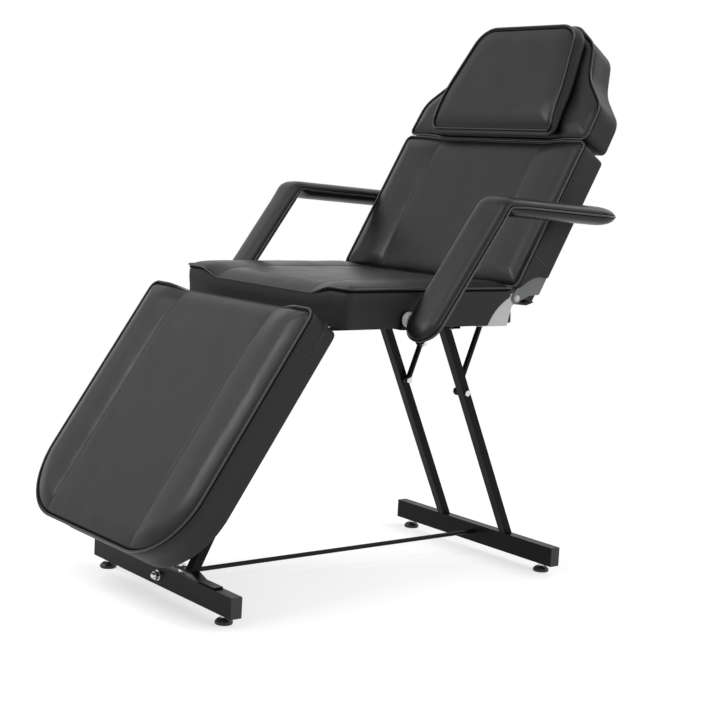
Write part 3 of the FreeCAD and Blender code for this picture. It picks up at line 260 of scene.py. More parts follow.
def cushion_shell(outline, target, rim_height, roll, bottom, draw_in=0.004, spacing=0.005,
                  hem=0.017, flare=0.0, sewn=None):
    """Closed cushion. Over the width roll its top climbs from the welt line to target(x, y) by
    1 - (1 - share) ** climb_power, with a bell-shaped groove beside the welt, as deep as
    sewn(x, y) says. Its side has such a groove too, swells, is drawn in by draw_in at mid
    height, stands out by flare near its foot, and comes down to the hem, from where its bottom
    turns in under the board. Returns vertices, quads, and the lines of the welt and of the
    stitch grooves above and below it."""
    sewn = sewn or (lambda x, y: np.ones_like(x))
    right = right_edge(outline, spacing)
    count = int(2 * right[:, 0].max() / spacing) | 1
    u = np.linspace(-1, 1, count)
    across = 0.55 * u + 0.45 * np.sin(u * math.pi / 2)
    x = right[:, :1] * across
    y = np.repeat(right[:, 1:], count, axis=1)
    distance = edge_distance(x, y, outline)
    climb = 1 - (1 - np.clip(distance / roll, 0, 1)) ** climb_power
    base = rim_height(x, y)
    groove = np.exp(-((distance - groove_in) / groove_wide) ** 2) * sewn(x, y)
    z = base + climb * (target(x, y) - base) - groove_deep * groove
    z = z + waviness(x, y) * np.clip(distance / 0.03, 0, 1)
    ids = np.arange(x.size).reshape(x.shape)
    loop = np.concatenate([ids[0, :-1], ids[:-1, -1], ids[-1, :0:-1], ids[:0:-1, 0]])
    top = np.stack([x, y, z], -1).reshape(-1, 3)
    rim = top[loop].copy()
    rim[:, 2] = rim_height(rim[:, 0], rim[:, 1])
    top[loop, 2] = rim[:, 2]
    tangent = np.roll(rim, -1, axis=0) - np.roll(rim, 1, axis=0)
    inward = np.stack([-tangent[:, 1], tangent[:, 0]], 1)
    inward /= np.linalg.norm(inward, axis=1, keepdims=True)
    shares = np.concatenate([[0.02, 0.05, 0.08, 0.12], np.linspace(0.17, 0.94, 12), [0.975, 1]])
    inset = draw_in * np.sin(math.pi * shares) ** 2 + hem_turn * shares ** 6 - side_swell(shares)
    inset = inset - flare * smooth_step(shares / 0.8) * (1 - smooth_step((shares - 0.8) / 0.4))
    side_groove = side_groove_deep * np.exp(-((shares - 0.08) / 0.04) ** 2)
    edge_sewn = sewn(rim[:, :1], rim[:, 1:2])
    vertices, faces, previous = [top], [], loop
    for depth, nick, share in zip(inset, side_groove, shares):
        ring = np.column_stack([rim[:, :2] + inward * (depth + nick * edge_sewn),
                                rim[:, 2] + (bottom - rim[:, 2]) * share])
        here = sum(len(v) for v in vertices) + np.arange(len(loop))
        vertices.append(ring)
        faces.append(grid_faces(np.array([previous, here]), rings=True))
        previous = here
    low, high = right[:, 1].min(), right[:, 1].max()
    middle, half_length, half = (low + high) / 2, (high - low) / 2, right[:, 0].max()
    for share, level in ((0.6, bottom), (1.0, bottom), (1.0, bottom + bottom_sink)):
        turned_in = hem_turn + hem * share
        under = np.stack([x * (1 - turned_in / half),
                          middle + (y - middle) * (1 - turned_in / half_length),
                          np.full_like(x, level)], -1).reshape(-1, 3)
        here = sum(len(v) for v in vertices)
        if level > bottom:
            vertices.append(under)
            faces.append(grid_faces(here + ids))
            here = here + loop
        else:
            vertices.append(under[loop])
            here = here + np.arange(len(loop))
        faces.append(grid_faces(np.array([previous, here]), rings=True))
        previous = here
    faces.append(grid_faces(ids.T))
    welt = rim + np.column_stack([-inward * welt_out, np.full(len(rim), welt_up)])
    above = rim[:, :2] + inward * stitch_in
    rise = (1 - (1 - stitch_in / roll) ** climb_power) * (target(*above.T) - rim[:, 2])
    above = np.column_stack([above, rim[:, 2] + rise - stitch_sink * edge_sewn[:, 0]])
    below = np.column_stack([rim[:, :2] + inward * side_stitch_in, rim[:, 2] - stitch_in])
    return np.concatenate(vertices), np.concatenate(faces), (welt, above, below)


def tube_along(loop, radius, sides=10, closed=True):
    """Round tube: a circle of one radius, or of one for each point, carried along a line of
    points, square to the line everywhere."""
    radius = np.broadcast_to(radius, len(loop))[:, None, None]
    ahead = np.roll(loop, -1, axis=0) - np.roll(loop, 1, axis=0)
    if not closed:
        ahead[0], ahead[-1] = loop[1] - loop[0], loop[-1] - loop[-2]
    ahead /= np.linalg.norm(ahead, axis=1, keepdims=True)
    up = np.array([0.02, 0.1, 1.0])
    side = np.cross(ahead, up)
    side /= np.linalg.norm(side, axis=1, keepdims=True)
    above = np.cross(side, ahead)
    turn = np.linspace(0, 2 * math.pi, sides, endpoint=False)
    ring = (loop[:, None] + radius * (np.cos(turn)[None, :, None] * side[:, None]
                                      + np.sin(turn)[None, :, None] * above[:, None]))
    ids = np.arange(len(loop) * sides).reshape(-1, sides)
    if closed:
        ids = np.vstack([ids, ids[:1]])
    return ring.reshape(-1, 3), grid_faces(ids, rings=True)


def turned(points, pivot, degrees):
    """The points, turned about a line along X through the pivot."""
    c, s = math.cos(math.radians(degrees)), math.sin(math.radians(degrees))
    y, z = points[:, 1] - pivot[1], points[:, 2] - pivot[2]
    return np.column_stack([points[:, 0], pivot[1] + c * y - s * z, pivot[2] + s * y + c * z])


def side_strips(piece, degrees):
    """Gives the faces that don't look up from the cushion the leather of its side strips, which is
    rougher and painted lighter than the tops' leather, as painted light.
    """
    count = len(piece.data.polygons)
    normals = np.empty(count * 3)
    piece.data.polygons.foreach_get("normal", normals)
    up = (0, -math.sin(math.radians(degrees)), math.cos(math.radians(degrees)))
    piece.data.materials.append(side_strip_painted_light)
    piece.data.polygons.foreach_set("material_index",
                                    (normals.reshape(-1, 3) @ up < 0.45).astype(np.int32))


def sew_welt(name, lines, pivot, degrees, body, thin=0.0):
    """The welt, a cord in a strip of leather painted lighter as a painted highlight, and on each
    side a near-black line of painted shade in the groove of its stitches, thinner where thin goes
    to 1."""
    welt = lines[0] - np.outer(np.broadcast_to(thin, len(lines[0])), (0, 0, welt_up))
    vertices, faces = tube_along(turned(welt, pivot, degrees), welt_radius * (1 - 0.80 * thin))
    cord = new_piece(name, vertices, faces, welt_painted_highlight)
    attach(cord, body)
    shade_lines = [tube_along(turned(line, pivot, degrees), radius * (1 - 0.90 * thin), 6)
               for line, radius in ((lines[1], 0.0015), (lines[2], 0.0022))]
    vertices = np.concatenate([groove[0] for groove in shade_lines])
    faces = np.concatenate([shade_lines[0][1], shade_lines[1][1] + len(shade_lines[0][0])])
    rows = new_piece(name + "_stitch_painted_shade", vertices, faces, stitch_painted_shade)
    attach(rows, body)


def bolstered(x, crest, floor):
    """Height above the welt: from the bolster's crest it falls to the middle panel's floor
    inside the valley line, by a curve that is four fifths a round crest and one fifth an S. A
    narrow bell-shaped crease is pulled in along the valley line."""
    slope = np.clip((np.abs(x) - valley_half) / (crest_half - valley_half), 0, 1)
    fall = 0.80 * (1 - (1 - slope) ** 2) + 0.20 * smooth_step(slope)
    crease = crease_deep * np.exp(-((np.abs(x) - valley_half) / crease_wide) ** 2)
    return floor + (crest - floor) * fall - crease


def bite(piece, inner, centre, radius, sides=180):
    """Cuts a round bite through the piece's two sides, from inner outward, about an axis along X
    through the centre. The cutter is a fine cylinder, and the cut is applied."""
    outer = inner + 0.05
    turn = np.linspace(0, 2 * math.pi, sides, endpoint=False)
    for sign in (-1, 1):
        ends = [np.column_stack([np.full(sides, sign * reach), centre[0] + radius * np.cos(turn),
                                 centre[1] + radius * np.sin(turn)]) for reach in (inner, outer)]
        rows = np.arange(2 * sides).reshape(2, sides)
        walls = grid_faces(rows, rings=True).tolist()
        caps = [rows[0].tolist(), rows[1, ::-1].tolist()]
        mesh = bpy.data.meshes.new("notch_cutter")
        mesh.from_pydata(np.concatenate(ends).tolist(), [], walls + caps)
        if sign > 0:
            mesh.flip_normals()
        mesh.materials.append(piece.data.materials[0])
        cutter = into_scene("notch_cutter", mesh)
        cut = piece.modifiers.new("notch", "BOOLEAN")
        cut.operation = "DIFFERENCE"
        cut.solver = "EXACT"
        cut.object = cutter
        bpy.context.view_layer.update()
        result = bpy.data.meshes.new_from_object(
            piece.evaluated_get(bpy.context.evaluated_depsgraph_get()))
        piece.modifiers.remove(cut)
        old, piece.data = piece.data, result
        bpy.data.meshes.remove(old)
        bpy.data.objects.remove(cutter)
    piece.data.set_sharp_from_angle(angle=math.radians(50))


seat_front, seat_rear = seat_low.y + 0.0015, seat_high.y - 0.003
seat_edge = mirrored_outline([(half_width, seat_front, 0.016), (half_width, seat_rear, 0.016)])


def end_dip(x, y, near, reach):
    """1 in the middle panel's end at the line near, and 0 on the bolsters and away from it. It
    falls by an S sideways and another lengthwise."""
    return ((1 - smooth_step((np.abs(x) - dip_half) / dip_fade))
            * (1 - smooth_step(np.abs(y - near) / reach)))


def seat_target(x, y):
    """The seat's top: bolsters beside a level middle that falls a little towards the front."""
    return (cushion_level + bolstered(x, crest=0.013, floor=0.008)
            - 0.006 * end_dip(x, y, seat_low.y, 0.12))


def seat_rim(x, y):
    """Height of the seat's edge seam: level, but far lower across the middle's front, where
    the top panel rolls over the edge, and a little lower across the middle's rear."""
    return (cushion_level - 0.017 * end_dip(x, y, seat_low.y, 0.09)
            - 0.004 * end_dip(x, y, seat_high.y, 0.05))


def seat_sewn(x, y):
    """1 where the seat's welt is sewn, and 0 across the middle of the front."""
    return 1 - end_dip(x, y, seat_low.y, 0.04)


vertices, faces, lines = cushion_shell(seat_edge, seat_target, seat_rim, roll=0.042,
                                      bottom=seat_low.z, sewn=seat_sewn)
seat = new_piece("seat_cushion_cover", vertices, faces, leather)
back_pivot = joints["back_recline"]["pos_m"]
bite(seat, recess_side, (back_pivot[1] + 0.0245, back_pivot[2] - 0.104), 0.120)
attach(seat, "chair")
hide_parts("seat_cushion")
side_strips(seat, 0)
sew_welt("seat_welt", lines, (0, 0, 0), 0, "chair", 1 - seat_sewn(lines[0][:, 0], lines[0][:, 1]))

# Tucked corners: behind each hinge plate the cover's corner is folded double and stapled, and
# the fold stands out a little past the plate's rear edge.


def folded_tab(name, outline, x_low, x_high, body, degrees=0):
    """Soft fold of leather: a rounded outline in the side plane, carried from x_low to x_high,
    thinner towards both faces, closed there, and turned about the back's pivot."""
    shares = np.array([0.0, 0.04, 0.16, 0.5, 0.84, 0.96, 1.0])
    swell = np.array([0.001, 0.72, 0.93, 1.0, 0.93, 0.72, 0.001])
    centre = outline.mean(0)
    rings = centre + (outline - centre) * swell[:, None, None]
    x = np.broadcast_to((x_low + (x_high - x_low) * shares)[:, None], rings.shape[:2])
    vertices = turned(np.dstack([x, rings]).reshape(-1, 3), back_pivot, degrees)
    faces = grid_faces(np.arange(x.size).reshape(x.shape), rings=True)
    piece = new_piece(name, vertices, faces, leather)
    close_doubles(piece.data, 0.00005)
    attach(piece, body)


tab = rounded_outline([(seat_high.y - 0.016, seat_low.z + 0.001, 0.002),
                       (seat_high.y + 0.014, seat_low.z + 0.001, 0.002),
                       (seat_high.y + 0.013, seat_low.z + 0.022, 0.010),
                       (seat_high.y + 0.007, seat_low.z + 0.044, 0.003),
                       (seat_high.y - 0.016, seat_low.z + 0.044, 0.003)], 0.0012)
for side, sign in (("left", 1), ("right", -1)):
    folded_tab("seat_corner_tuck_" + side, tab, sign * 0.264, sign * fold_side, "chair")

# Back cushion: made like the seat, with the same bolsters. Its board is screwed to the two
# hinge plates, and its lower corners are cut round over them.
back_angle = 60.5
back_reach = 0.022 * math.tan(math.radians(back_angle / 2))
back_start = back_pivot[1] + back_reach
back_end = back_start + 0.362
back_bottom = cushion_level - 0.073
back_edge = mirrored_outline([(half_width, back_start + 0.0035, 0.014),
                              (half_width, back_end, 0.014)])


def back_target(x, y):
    """The back's top: bolsters beside a middle panel that is a little lower at both ends."""
    ends = end_dip(x, y, back_start, 0.09) + end_dip(x, y, back_end, 0.07)
    return cushion_level + bolstered(x, crest=0.013, floor=0.007) - 0.004 * ends


def back_rim(x, y):
    """The back's welt line, which dips across the middle panel at both ends."""
    return (cushion_level - 0.010 * end_dip(x, y, back_start, 0.05)
            - 0.006 * end_dip(x, y, back_end, 0.05))


vertices, faces, lines = cushion_shell(back_edge, back_target, back_rim, roll=0.040,
                                      bottom=back_bottom)
back = new_piece("back_cushion_cover", turned(vertices, back_pivot, back_angle), faces, leather)
bite(back, recess_side, (back_pivot[1] + 0.0615, back_pivot[2] - 0.044), 0.090)
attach(back, "back")
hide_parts("back_cushion")
side_strips(back, back_angle)
sew_welt("back_welt", lines, back_pivot, back_angle, "back")

# Leg rest cushion: the longest pad, with wide round corners at the feet. It hangs on two
# hinges under the seat's front edge.
leg_pivot = joints["leg_rest_lift"]["pos_m"]
leg_angle = 56.0
leg_end = leg_pivot[1] + 0.002
leg_start = leg_end - 0.564
leg_bottom = cushion_level - 0.075
leg_edge = mirrored_outline([(half_width, leg_start, 0.145),
                             (half_width, leg_end - 0.0015, 0.020)])


def leg_target(x, y):
    """The leg rest's top: bolsters, and a middle panel that falls away at the hinge end."""
    return (cushion_level + bolstered(x, crest=0.013, floor=0.0065)
            - 0.010 * end_dip(x, y, leg_end, 0.12))


def leg_rim(x, y):
    """The leg rest's welt line, which dips across the middle panel at the hinge end."""
    return cushion_level - 0.014 * end_dip(x, y, leg_end, 0.05)


def leg_sewn(x, y):
    """1 where the leg rest's welt is sewn, and 0 across the middle of the hinge end."""
    return 1 - end_dip(x, y, leg_end, 0.04)


vertices, faces, lines = cushion_shell(leg_edge, leg_target, leg_rim, roll=0.042,
                                      bottom=leg_bottom, sewn=leg_sewn)
leg = new_piece("leg_cushion_cover", turned(vertices, leg_pivot, leg_angle), faces, leather)
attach(leg, "leg_rest")
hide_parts("leg_cushion")
side_strips(leg, leg_angle)
sew_welt("leg_welt", lines, leg_pivot, leg_angle, "leg_rest",
         1 - leg_sewn(lines[0][:, 0], lines[0][:, 1]))

# Hem roll of the back: at its lower end the cover is drawn under the board in a thick fold,
# which hangs a little below the board's edge.
hem_radius = 0.0125
turn = np.linspace(0, 2 * math.pi, 40, endpoint=False)
hem_roll = np.column_stack([back_pivot[1] + 0.0200 + hem_radius * np.cos(turn),
                            back_pivot[2] - 0.0570 + hem_radius * np.sin(turn)])
folded_tab("back_hem_roll", hem_roll, -fold_side, fold_side, "back", back_angle)

# Closing seams of the cushions' side strips: where a strip ends, it is turned in and sewn with
# one or two rows of thread. Each row is a fine raised line on the leather, in the welt's leather,
# whose lighter colour is a painted highlight.
seam_radius = 0.0009


def side_plane(share, draw_in=0.004):
    """How far out a cushion's side stands at this share of the way down from its welt, by the
    sum in cushion_shell."""
    return (half_width + side_swell(share) - draw_in * np.sin(math.pi * np.clip(share, 0, 1)) ** 2
            - hem_turn * share ** 6)


def side_seam(name, spots, bottom, pivot, degrees, body):
    """Thin line along a cushion's two sides through the spots (y, z), counted from the pivot,
    half sunk in its surface, with both ends closed to a point."""
    spots = np.array(spots, float) + pivot[1:]
    run = np.linspace(0, len(spots) - 1, 40)
    y = np.interp(run, np.arange(len(spots)), spots[:, 0])
    z = np.interp(run, np.arange(len(spots)), spots[:, 1])
    x = side_plane((cushion_level - z) / (cushion_level - bottom))
    thick = seam_radius * np.sqrt(np.clip(np.minimum(run, run[-1] - run) / 0.15, 0, 1))
    for side, sign in (("left", 1), ("right", -1)):
        line = turned(np.column_stack([sign * x, y, z]), pivot, degrees)
        vertices, faces = tube_along(line, thick, 8, closed=False)
        row = new_piece(name + "_" + side, vertices, faces, welt_painted_highlight)
        close_doubles(row.data, 0.00002)
        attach(row, body)


for number, drop in (("first", 0.0), ("second", -0.0032)):
    side_seam("leg_strip_seam_" + number,
              [(-0.003, 0.050 + drop), (-0.018, 0.043 + drop), (-0.077, 0.038 + drop)],
              leg_bottom, leg_pivot, leg_angle, "leg_rest")
side_seam("leg_strip_end", [(-0.084, 0.080), (-0.080, 0.048), (-0.077, 0.015)],
          leg_bottom, leg_pivot, leg_angle, "leg_rest")
side_seam("back_strip_end", [(0.098, 0.016), (0.096, -0.032), (0.084, -0.040)],
          back_bottom, back_pivot, back_angle, "back")

# Head section: a bell-shaped pad above the back, on its own board. Its cover is sewn and
# stapled like the others.
head_start = back_end + 0.009
head_corners = [(0.297, 0.000, 0.013), (0.294, 0.084, 0.060), (0.220, 0.156, 0.120),
                (0.184, 0.246, 0.075), (0.112, 0.295, 0.060)]
head_edge = mirrored_outline([(x, head_start + up, radius) for x, up, radius in head_corners])


def head_target(x, y):
    """The head section's top: bolsters that fade upward into a plain crown."""
    fade = 1 - smooth_step((y - head_start - 0.10) / 0.10)
    return (cushion_level + bolstered(x, crest=0.011, floor=0.005) * fade + 0.010 * (1 - fade)
            - 0.005 * end_dip(x, y, head_start, 0.07))


def head_rim(x, y):
    """The head section's welt line, which dips across the middle at its lower end."""
    return cushion_level - 0.010 * end_dip(x, y, head_start, 0.05)


vertices, faces, lines = cushion_shell(head_edge, head_target, head_rim, roll=0.036,
                                      bottom=back_bottom)
head = new_piece("head_cushion_cover", turned(vertices, back_pivot, back_angle), faces, leather)
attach(head, "back")
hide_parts("head_cushion")
side_strips(head, back_angle)
sew_welt("head_welt", lines, back_pivot, back_angle, "back")

# Pillow: a loose boxed pad in the same leather, thin at its lower edge, which is held on the
# head section by touch fastener and lifts off.
pillow_start = head_start + 0.009
pillow_end = pillow_start + 0.260
pillow_edge = mirrored_outline([(0.199, pillow_start, 0.009),
                                (0.191, pillow_start + 0.100, 0.300),
                                (0.154, pillow_end, 0.055)])


def quarter_arc(share):
    """Height of a quarter circle's arc over its share: it starts upright and ends level."""
    return np.sqrt(1 - (1 - np.clip(share, 0, 1)) ** 2)


def pillow_rim(x, y):
    """Height of the welt round the pillow's face: low at the lower edge, then it rolls up on a
    quarter circle and climbs slowly to the top."""
    along = (y - pillow_start) / (pillow_end - pillow_start)
    return (cushion_level + 0.018 + 0.017 * quarter_arc(along / 0.30)
            + 0.009 * np.clip(along, 0, 1))


def pillow_target(x, y):
    """The pillow's face: it stands a little prouder than its welt."""
    return pillow_rim(x, y) + 0.006


vertices, faces, lines = cushion_shell(pillow_edge, pillow_target, pillow_rim, roll=0.045,
                                      bottom=cushion_level + 0.0085, draw_in=-0.001,
                                      spacing=0.004, hem=0.006, flare=0.010)
pillow = new_piece("pillow_cover", turned(vertices, back_pivot, back_angle), faces, leather)
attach(pillow, "pillow")
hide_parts("head_pillow")
side_strips(pillow, back_angle)
sew_welt("pillow_welt", lines, back_pivot, back_angle, "pillow")

# Arms: a bent steel bar inside a sewn sleeve of two padded halves. The front half runs up the
# post and on over the rest, the back half closes it, and a welt is sewn between them. The foot
# of the post and the end of the rest are round.
arm_pivot = joints["left_arm_fold"]["pos_m"]
arm_middle = 0.360
arm_half = 0.043
arm_twist = math.radians(6.0)
post_angle = math.radians(54.6)
rest_fall = math.radians(3.0)
post_length = 0.290
rest_length = 0.335
elbow_bend = 0.014
tip_reach = 0.062
side_power, face_power = 0.70, 0.76
post_front, rest_front_more = 0.0170, 0.0020
post_back, rest_back_more = 0.0150, 0.0060
elbow_hollow, hollow_reach = 0.45, 0.018
arm_stitch_beside = 0.0030


def arm_line(count):
    """The arm's middle line in the side plane: straight up the post, round the elbow on an
    arc, and out along the rest, with its points closer together at both ends. Returns them,
    their outward normals, the run to each, the whole length, and the run to the elbow."""
    post = np.array([math.cos(post_angle), math.sin(post_angle)])
    rest = np.array([math.cos(rest_fall), -math.sin(rest_fall)])
    foot = np.array(arm_pivot[1:]) - post * arm_half
    elbow = np.array(arm_pivot[1:]) + post * post_length
    turn = post_angle + rest_fall
    cut = elbow_bend * math.tan(turn / 2)
    first = np.linalg.norm(elbow - foot) - cut
    arc = elbow_bend * turn
    total = first + arc + rest_length - cut
    end = arm_half * (1 - np.cos(np.linspace(0, math.pi / 2, 13)))
    run = np.concatenate([end, np.linspace(arm_half, total - arm_half, count), total - end[::-1]])
    run = np.unique(np.round(run, 6))
    bend = np.clip((run - first) / arc, 0, 1) * turn
    heading = post_angle - bend
    middle = foot + post * first
    centre = middle + elbow_bend * np.array([math.sin(post_angle), -math.cos(post_angle)])
    on_arc = centre + elbow_bend * np.column_stack([-np.sin(heading), np.cos(heading)])
    on_post = foot + np.outer(run, post)
    on_rest = on_arc + np.outer(np.clip(run - first - arc, 0, None), rest)
    points = np.where((run < first)[:, None], on_post, on_rest)
    normals = np.column_stack([-np.sin(heading), np.cos(heading)])
    return points, normals, run, total, first + arc / 2


def signed_power(wave, power):
    """The power of a wave's size, with the wave's sign: below 1 it fills the section out."""
    return np.sign(wave) * np.abs(wave) ** power


def arm_sleeve(sign):
    """Padded sleeve: at each point of the line, a lens that bulges from the welt at one edge to
    the welt at the other, thicker on the rest, and on its back thinner inside the elbow. Its
    width closes on quarter circles at both ends. On the post the section is turned outward, and
    it turns level over the elbow. Returns vertices, quads, and the lines of the welt and of the
    stitch grooves beside it."""
    points, normals, run, total, elbow_run = arm_line(110)
    closing = quarter_arc(run / arm_half) * quarter_arc((total - run) / tip_reach)
    width = (arm_half * closing)[:, None]
    on_rest = smooth_step((run - elbow_run + 0.03) / 0.06)
    lens = (closing ** (0.75 + 0.50 * on_rest))[:, None]
    front = (post_front + rest_front_more * on_rest[:, None]) * lens
    back = (post_back + rest_back_more * on_rest[:, None]) * lens
    hollow = elbow_hollow * np.exp(-((run[:, None] - elbow_run) / hollow_reach) ** 2)
    back = back * (1 - hollow)
    twist = (arm_twist * (1 - smooth_step((run - elbow_run + 0.05) / 0.10)))[:, None]
    turn = np.linspace(0, 2 * math.pi, 72, endpoint=False)
    across = signed_power(np.cos(turn), side_power)
    bulge = signed_power(np.sin(turn), face_power)
    height = np.where(bulge >= 0, bulge * front, bulge * back)
    sideways = width * across * np.cos(twist) + height * np.sin(twist)
    height = height * np.cos(twist) - width * across * np.sin(twist)
    body = np.stack([sign * (arm_middle + sideways), points[:, :1] + normals[:, :1] * height,
                     points[:, 1:] + normals[:, 1:] * height], -1)
    faces = grid_faces(np.arange(height.size).reshape(height.shape), rings=True)
    if sign < 0:
        faces = faces[:, ::-1]
    edges = []
    for beside in (0.0, arm_stitch_beside, -arm_stitch_beside):
        edge = []
        for side in (1, -1):
            reach = side * (width + 0.0008 - 0.3 * abs(beside))
            edge.append(np.column_stack(
                [sign * (arm_middle + reach * np.cos(twist) + beside * np.sin(twist)),
                 points + normals * (beside * np.cos(twist) - reach * np.sin(twist))])[::side])
        edge = np.concatenate(edge)
        keep = np.linalg.norm(edge - np.roll(edge, 1, axis=0), axis=1) > 2e-4
        edges.append(edge[keep])
    return body.reshape(-1, 3), faces, edges


for side, sign in (("left", 1), ("right", -1)):
    vertices, faces, edges = arm_sleeve(sign)
    sleeve = new_piece("arm_sleeve_" + side, vertices, faces, leather)
    close_doubles(sleeve.data, 0.00005)
    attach(sleeve, side + "_arm")
    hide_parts("arm_post_pad_" + side, "arm_top_pad_" + side)
    # The welt's cord is painted lighter as a painted highlight, and the stitch lines beside it are
    # near-black painted shade.
    for name, edge, radius, material in (("", edges[0], 0.0022, welt_painted_highlight),
                                         ("_front_stitch_painted_shade", edges[1], 0.0010, stitch_painted_shade),
                                         ("_back_stitch_painted_shade", edges[2], 0.0010, stitch_painted_shade)):
        vertices, faces = tube_along(edge, radius, 8)
        cord = new_piece("arm_welt_" + side + name, vertices, faces, material)
        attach(cord, side + "_arm")

# Frame: welded square and rectangular steel tube, powder coated black. The coat is smooth and
# half matt, with a very fine ripple. The hinge plates are enamelled light grey; the back's plates
# are given a middle grey, which is painted shade.


def powder_coat(name, dark, light, roughness, ripple):
    """Powder coat or stoved enamel: even in colour, with a fine ripple from its flow. Its low
    gloss is matched to the photograph."""
    material, tree, shader = new_material(name)
    place = add_node(tree, "ShaderNodeTexCoord").outputs["Object"]
    flow = add_node(tree, "ShaderNodeTexNoise", {"Vector": place, "Scale": 420.0,
                                                 "Detail": 2.0}).outputs["Fac"]
    cloud = add_node(tree, "ShaderNodeTexNoise", {"Vector": place, "Scale": 18.0,
                                                  "Detail": 3.0}).outputs["Fac"]
    bump = add_node(tree, "ShaderNodeBump", {"Height": flow, "Strength": 0.4,
                                             "Distance": ripple})
    tree.links.new(ramp_between(tree, cloud, dark, light), shader.inputs["Base Color"])
    tree.links.new(range_between(tree, cloud, 0.3, 0.7, roughness, roughness + 0.08),
                   shader.inputs["Roughness"])
    tree.links.new(bump.outputs["Normal"], shader.inputs["Normal"])
    shader.inputs["Specular IOR Level"].default_value = 0.10
    return material


frame_paint = powder_coat("powder_coat_black", "#0e0e0f", "#121213", 0.30, 0.00008)
seat_plate_paint = powder_coat("enamel_light_grey", "#d4d5d5", "#dadbdb", 0.34, 0.00005)
# The back's plates: the light grey enamel painted a middle grey, as painted shade.
back_plate_painted_shade = powder_coat("enamel_grey_painted_shade", "#7d7e7e", "#858686", 0.34, 0.00005)


def dressed(node_name, body, material, bevel=0.0008):
    """A CAD node's mesh, copied and merged, with its edges broken by a small bevel as on the
    real piece, and with its finish."""
    source = frame["nodes"][node_name]
    mesh = source.data.copy()
    mesh.name = node_name + "_dressed"
    mesh.materials.clear()
    mesh.materials.append(material)
    piece = into_scene(node_name + "_dressed", mesh)
    close_doubles(mesh, 0.00001, 0.5)
    edge = piece.modifiers.new("broken_edges", "BEVEL")
    edge.width = bevel
    edge.segments = 2
    edge.limit_method = "ANGLE"
    edge.angle_limit = math.radians(35)
    edge.use_clamp_overlap = True
    mesh.polygons.foreach_set("use_smooth", np.ones(len(mesh.polygons), bool))
    mesh.set_sharp_from_angle(angle=math.radians(32))
    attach(piece, body)
    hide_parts(node_name)


for node_name in ("front_foot_bar", "rear_foot_bar", "front_leg_left", "front_leg_right",
                  "rear_leg_left", "rear_leg_right", "front_foot_plate", "seat_rail_left",
                  "seat_rail_right", "seat_cross_front", "seat_cross_rear"):
    dressed(node_name, "chair", frame_paint, 0.0012)
for side in ("left", "right"):
    dressed("stay_tube_" + side, side + "_stay_tube", frame_paint, 0.0006)
    dressed("arm_core_" + side, side + "_arm", frame_paint, 0.0006)
    dressed("seat_hinge_plate_" + side, "chair", seat_plate_paint, 0.0006)
    dressed("back_hinge_plate_" + side, "back", back_plate_painted_shade, 0.0006)
dressed("stay_brackets", "back", frame_paint, 0.0006)
dressed("head_straps", "back", frame_paint, 0.0006)
dressed("arm_mount_plates", "chair", frame_paint, 0.0006)
dressed("stay_spacers", "chair", frame_paint, 0.0004)

# Fixings: nuts, bolts, screws, stay rods and pins of plated steel. The rivets are painted like
# the seat's plates, and the stretcher rod is blackened.


def plated_steel(name, colour, roughness):
    """Plated steel: a thin bright coat over turned or pressed steel, faintly uneven."""
    material, tree, shader = new_material(name)
    place = add_node(tree, "ShaderNodeTexCoord").outputs["Object"]
    cloud = add_node(tree, "ShaderNodeTexNoise", {"Vector": place, "Scale": 60.0,
                                                  "Detail": 3.0}).outputs["Fac"]
    shader.inputs["Base Color"].default_value = linear(colour)
    shader.inputs["Metallic"].default_value = 1.0
    tree.links.new(range_between(tree, cloud, 0.3, 0.7, roughness, roughness + 0.10),
                   shader.inputs["Roughness"])
    return material


bright_steel = plated_steel("bright_zinc_plate", "#d8d9db", 0.16)
zinc_steel = plated_steel("blue_zinc_plate", "#b4b7ba", 0.34)
dark_rod = powder_coat("black_oxide_rod", "#202021", "#262627", 0.34, 0.00004)
for node_name, body in (("stretcher_nuts", "chair"), ("foot_plate_bolts", "chair"),
                        ("foot_nuts", "chair"), ("arm_pivot_bolts", "chair"),
                        ("stay_bolts", "chair"), ("stay_bracket_bolts", "back"),
                        ("arm_lock_pin_left", "left_arm_lock"),
                        ("arm_lock_pin_right", "right_arm_lock"),
                        ("stay_rod_left", "left_stay_rod"), ("stay_rod_right", "right_stay_rod")):
    dressed(node_name, body, bright_steel, 0.0004)
dressed("stretcher_rod", "chair", dark_rod, 0.0004)
dressed("back_hinge_rivets", "chair", seat_plate_paint, 0.0004)
for node_name, body in (("leg_hinge_seat_leaves", "chair"), ("leg_hinge_leg_leaves", "leg_rest"),
                        ("leg_hinge_pins", "chair"), ("seat_board_screws", "chair"),
                        ("back_screws", "back"), ("leg_board_screws", "leg_rest")):
    dressed(node_name, body, zinc_steel, 0.0004)

# Moulded pieces: the bars' end caps and the levelling feet in black polypropylene, and the
# friction discs at the arms' pivots in white nylon.


def moulded(name, dark, light, roughness):
    """Injection-moulded plastic with the fine spark texture of its mould."""
    material, tree, shader = new_material(name)
    place = add_node(tree, "ShaderNodeTexCoord").outputs["Object"]
    spark = add_node(tree, "ShaderNodeTexNoise", {"Vector": place, "Scale": 900.0,
                                                  "Detail": 3.0}).outputs["Fac"]
    bump = add_node(tree, "ShaderNodeBump", {"Height": spark, "Strength": 0.5,
                                             "Distance": 0.0001})
    tree.links.new(ramp_between(tree, spark, dark, light), shader.inputs["Base Color"])
    tree.links.new(bump.outputs["Normal"], shader.inputs["Normal"])
    shader.inputs["Roughness"].default_value = roughness
    return material


black_plastic = moulded("moulded_polypropylene", "#1c1c1d", "#222223", 0.5)
white_nylon = moulded("moulded_nylon", "#dededc", "#e8e8e6", 0.45)
dressed("bar_end_caps", "chair", black_plastic, 0.0012)
for end in ("front", "rear"):
    for side in ("left", "right"):
        dressed("levelling_foot_%s_%s" % (end, side), "%s_%s_foot" % (end, side), black_plastic,
                0.0008)
dressed("arm_washers", "chair", white_nylon, 0.0005)


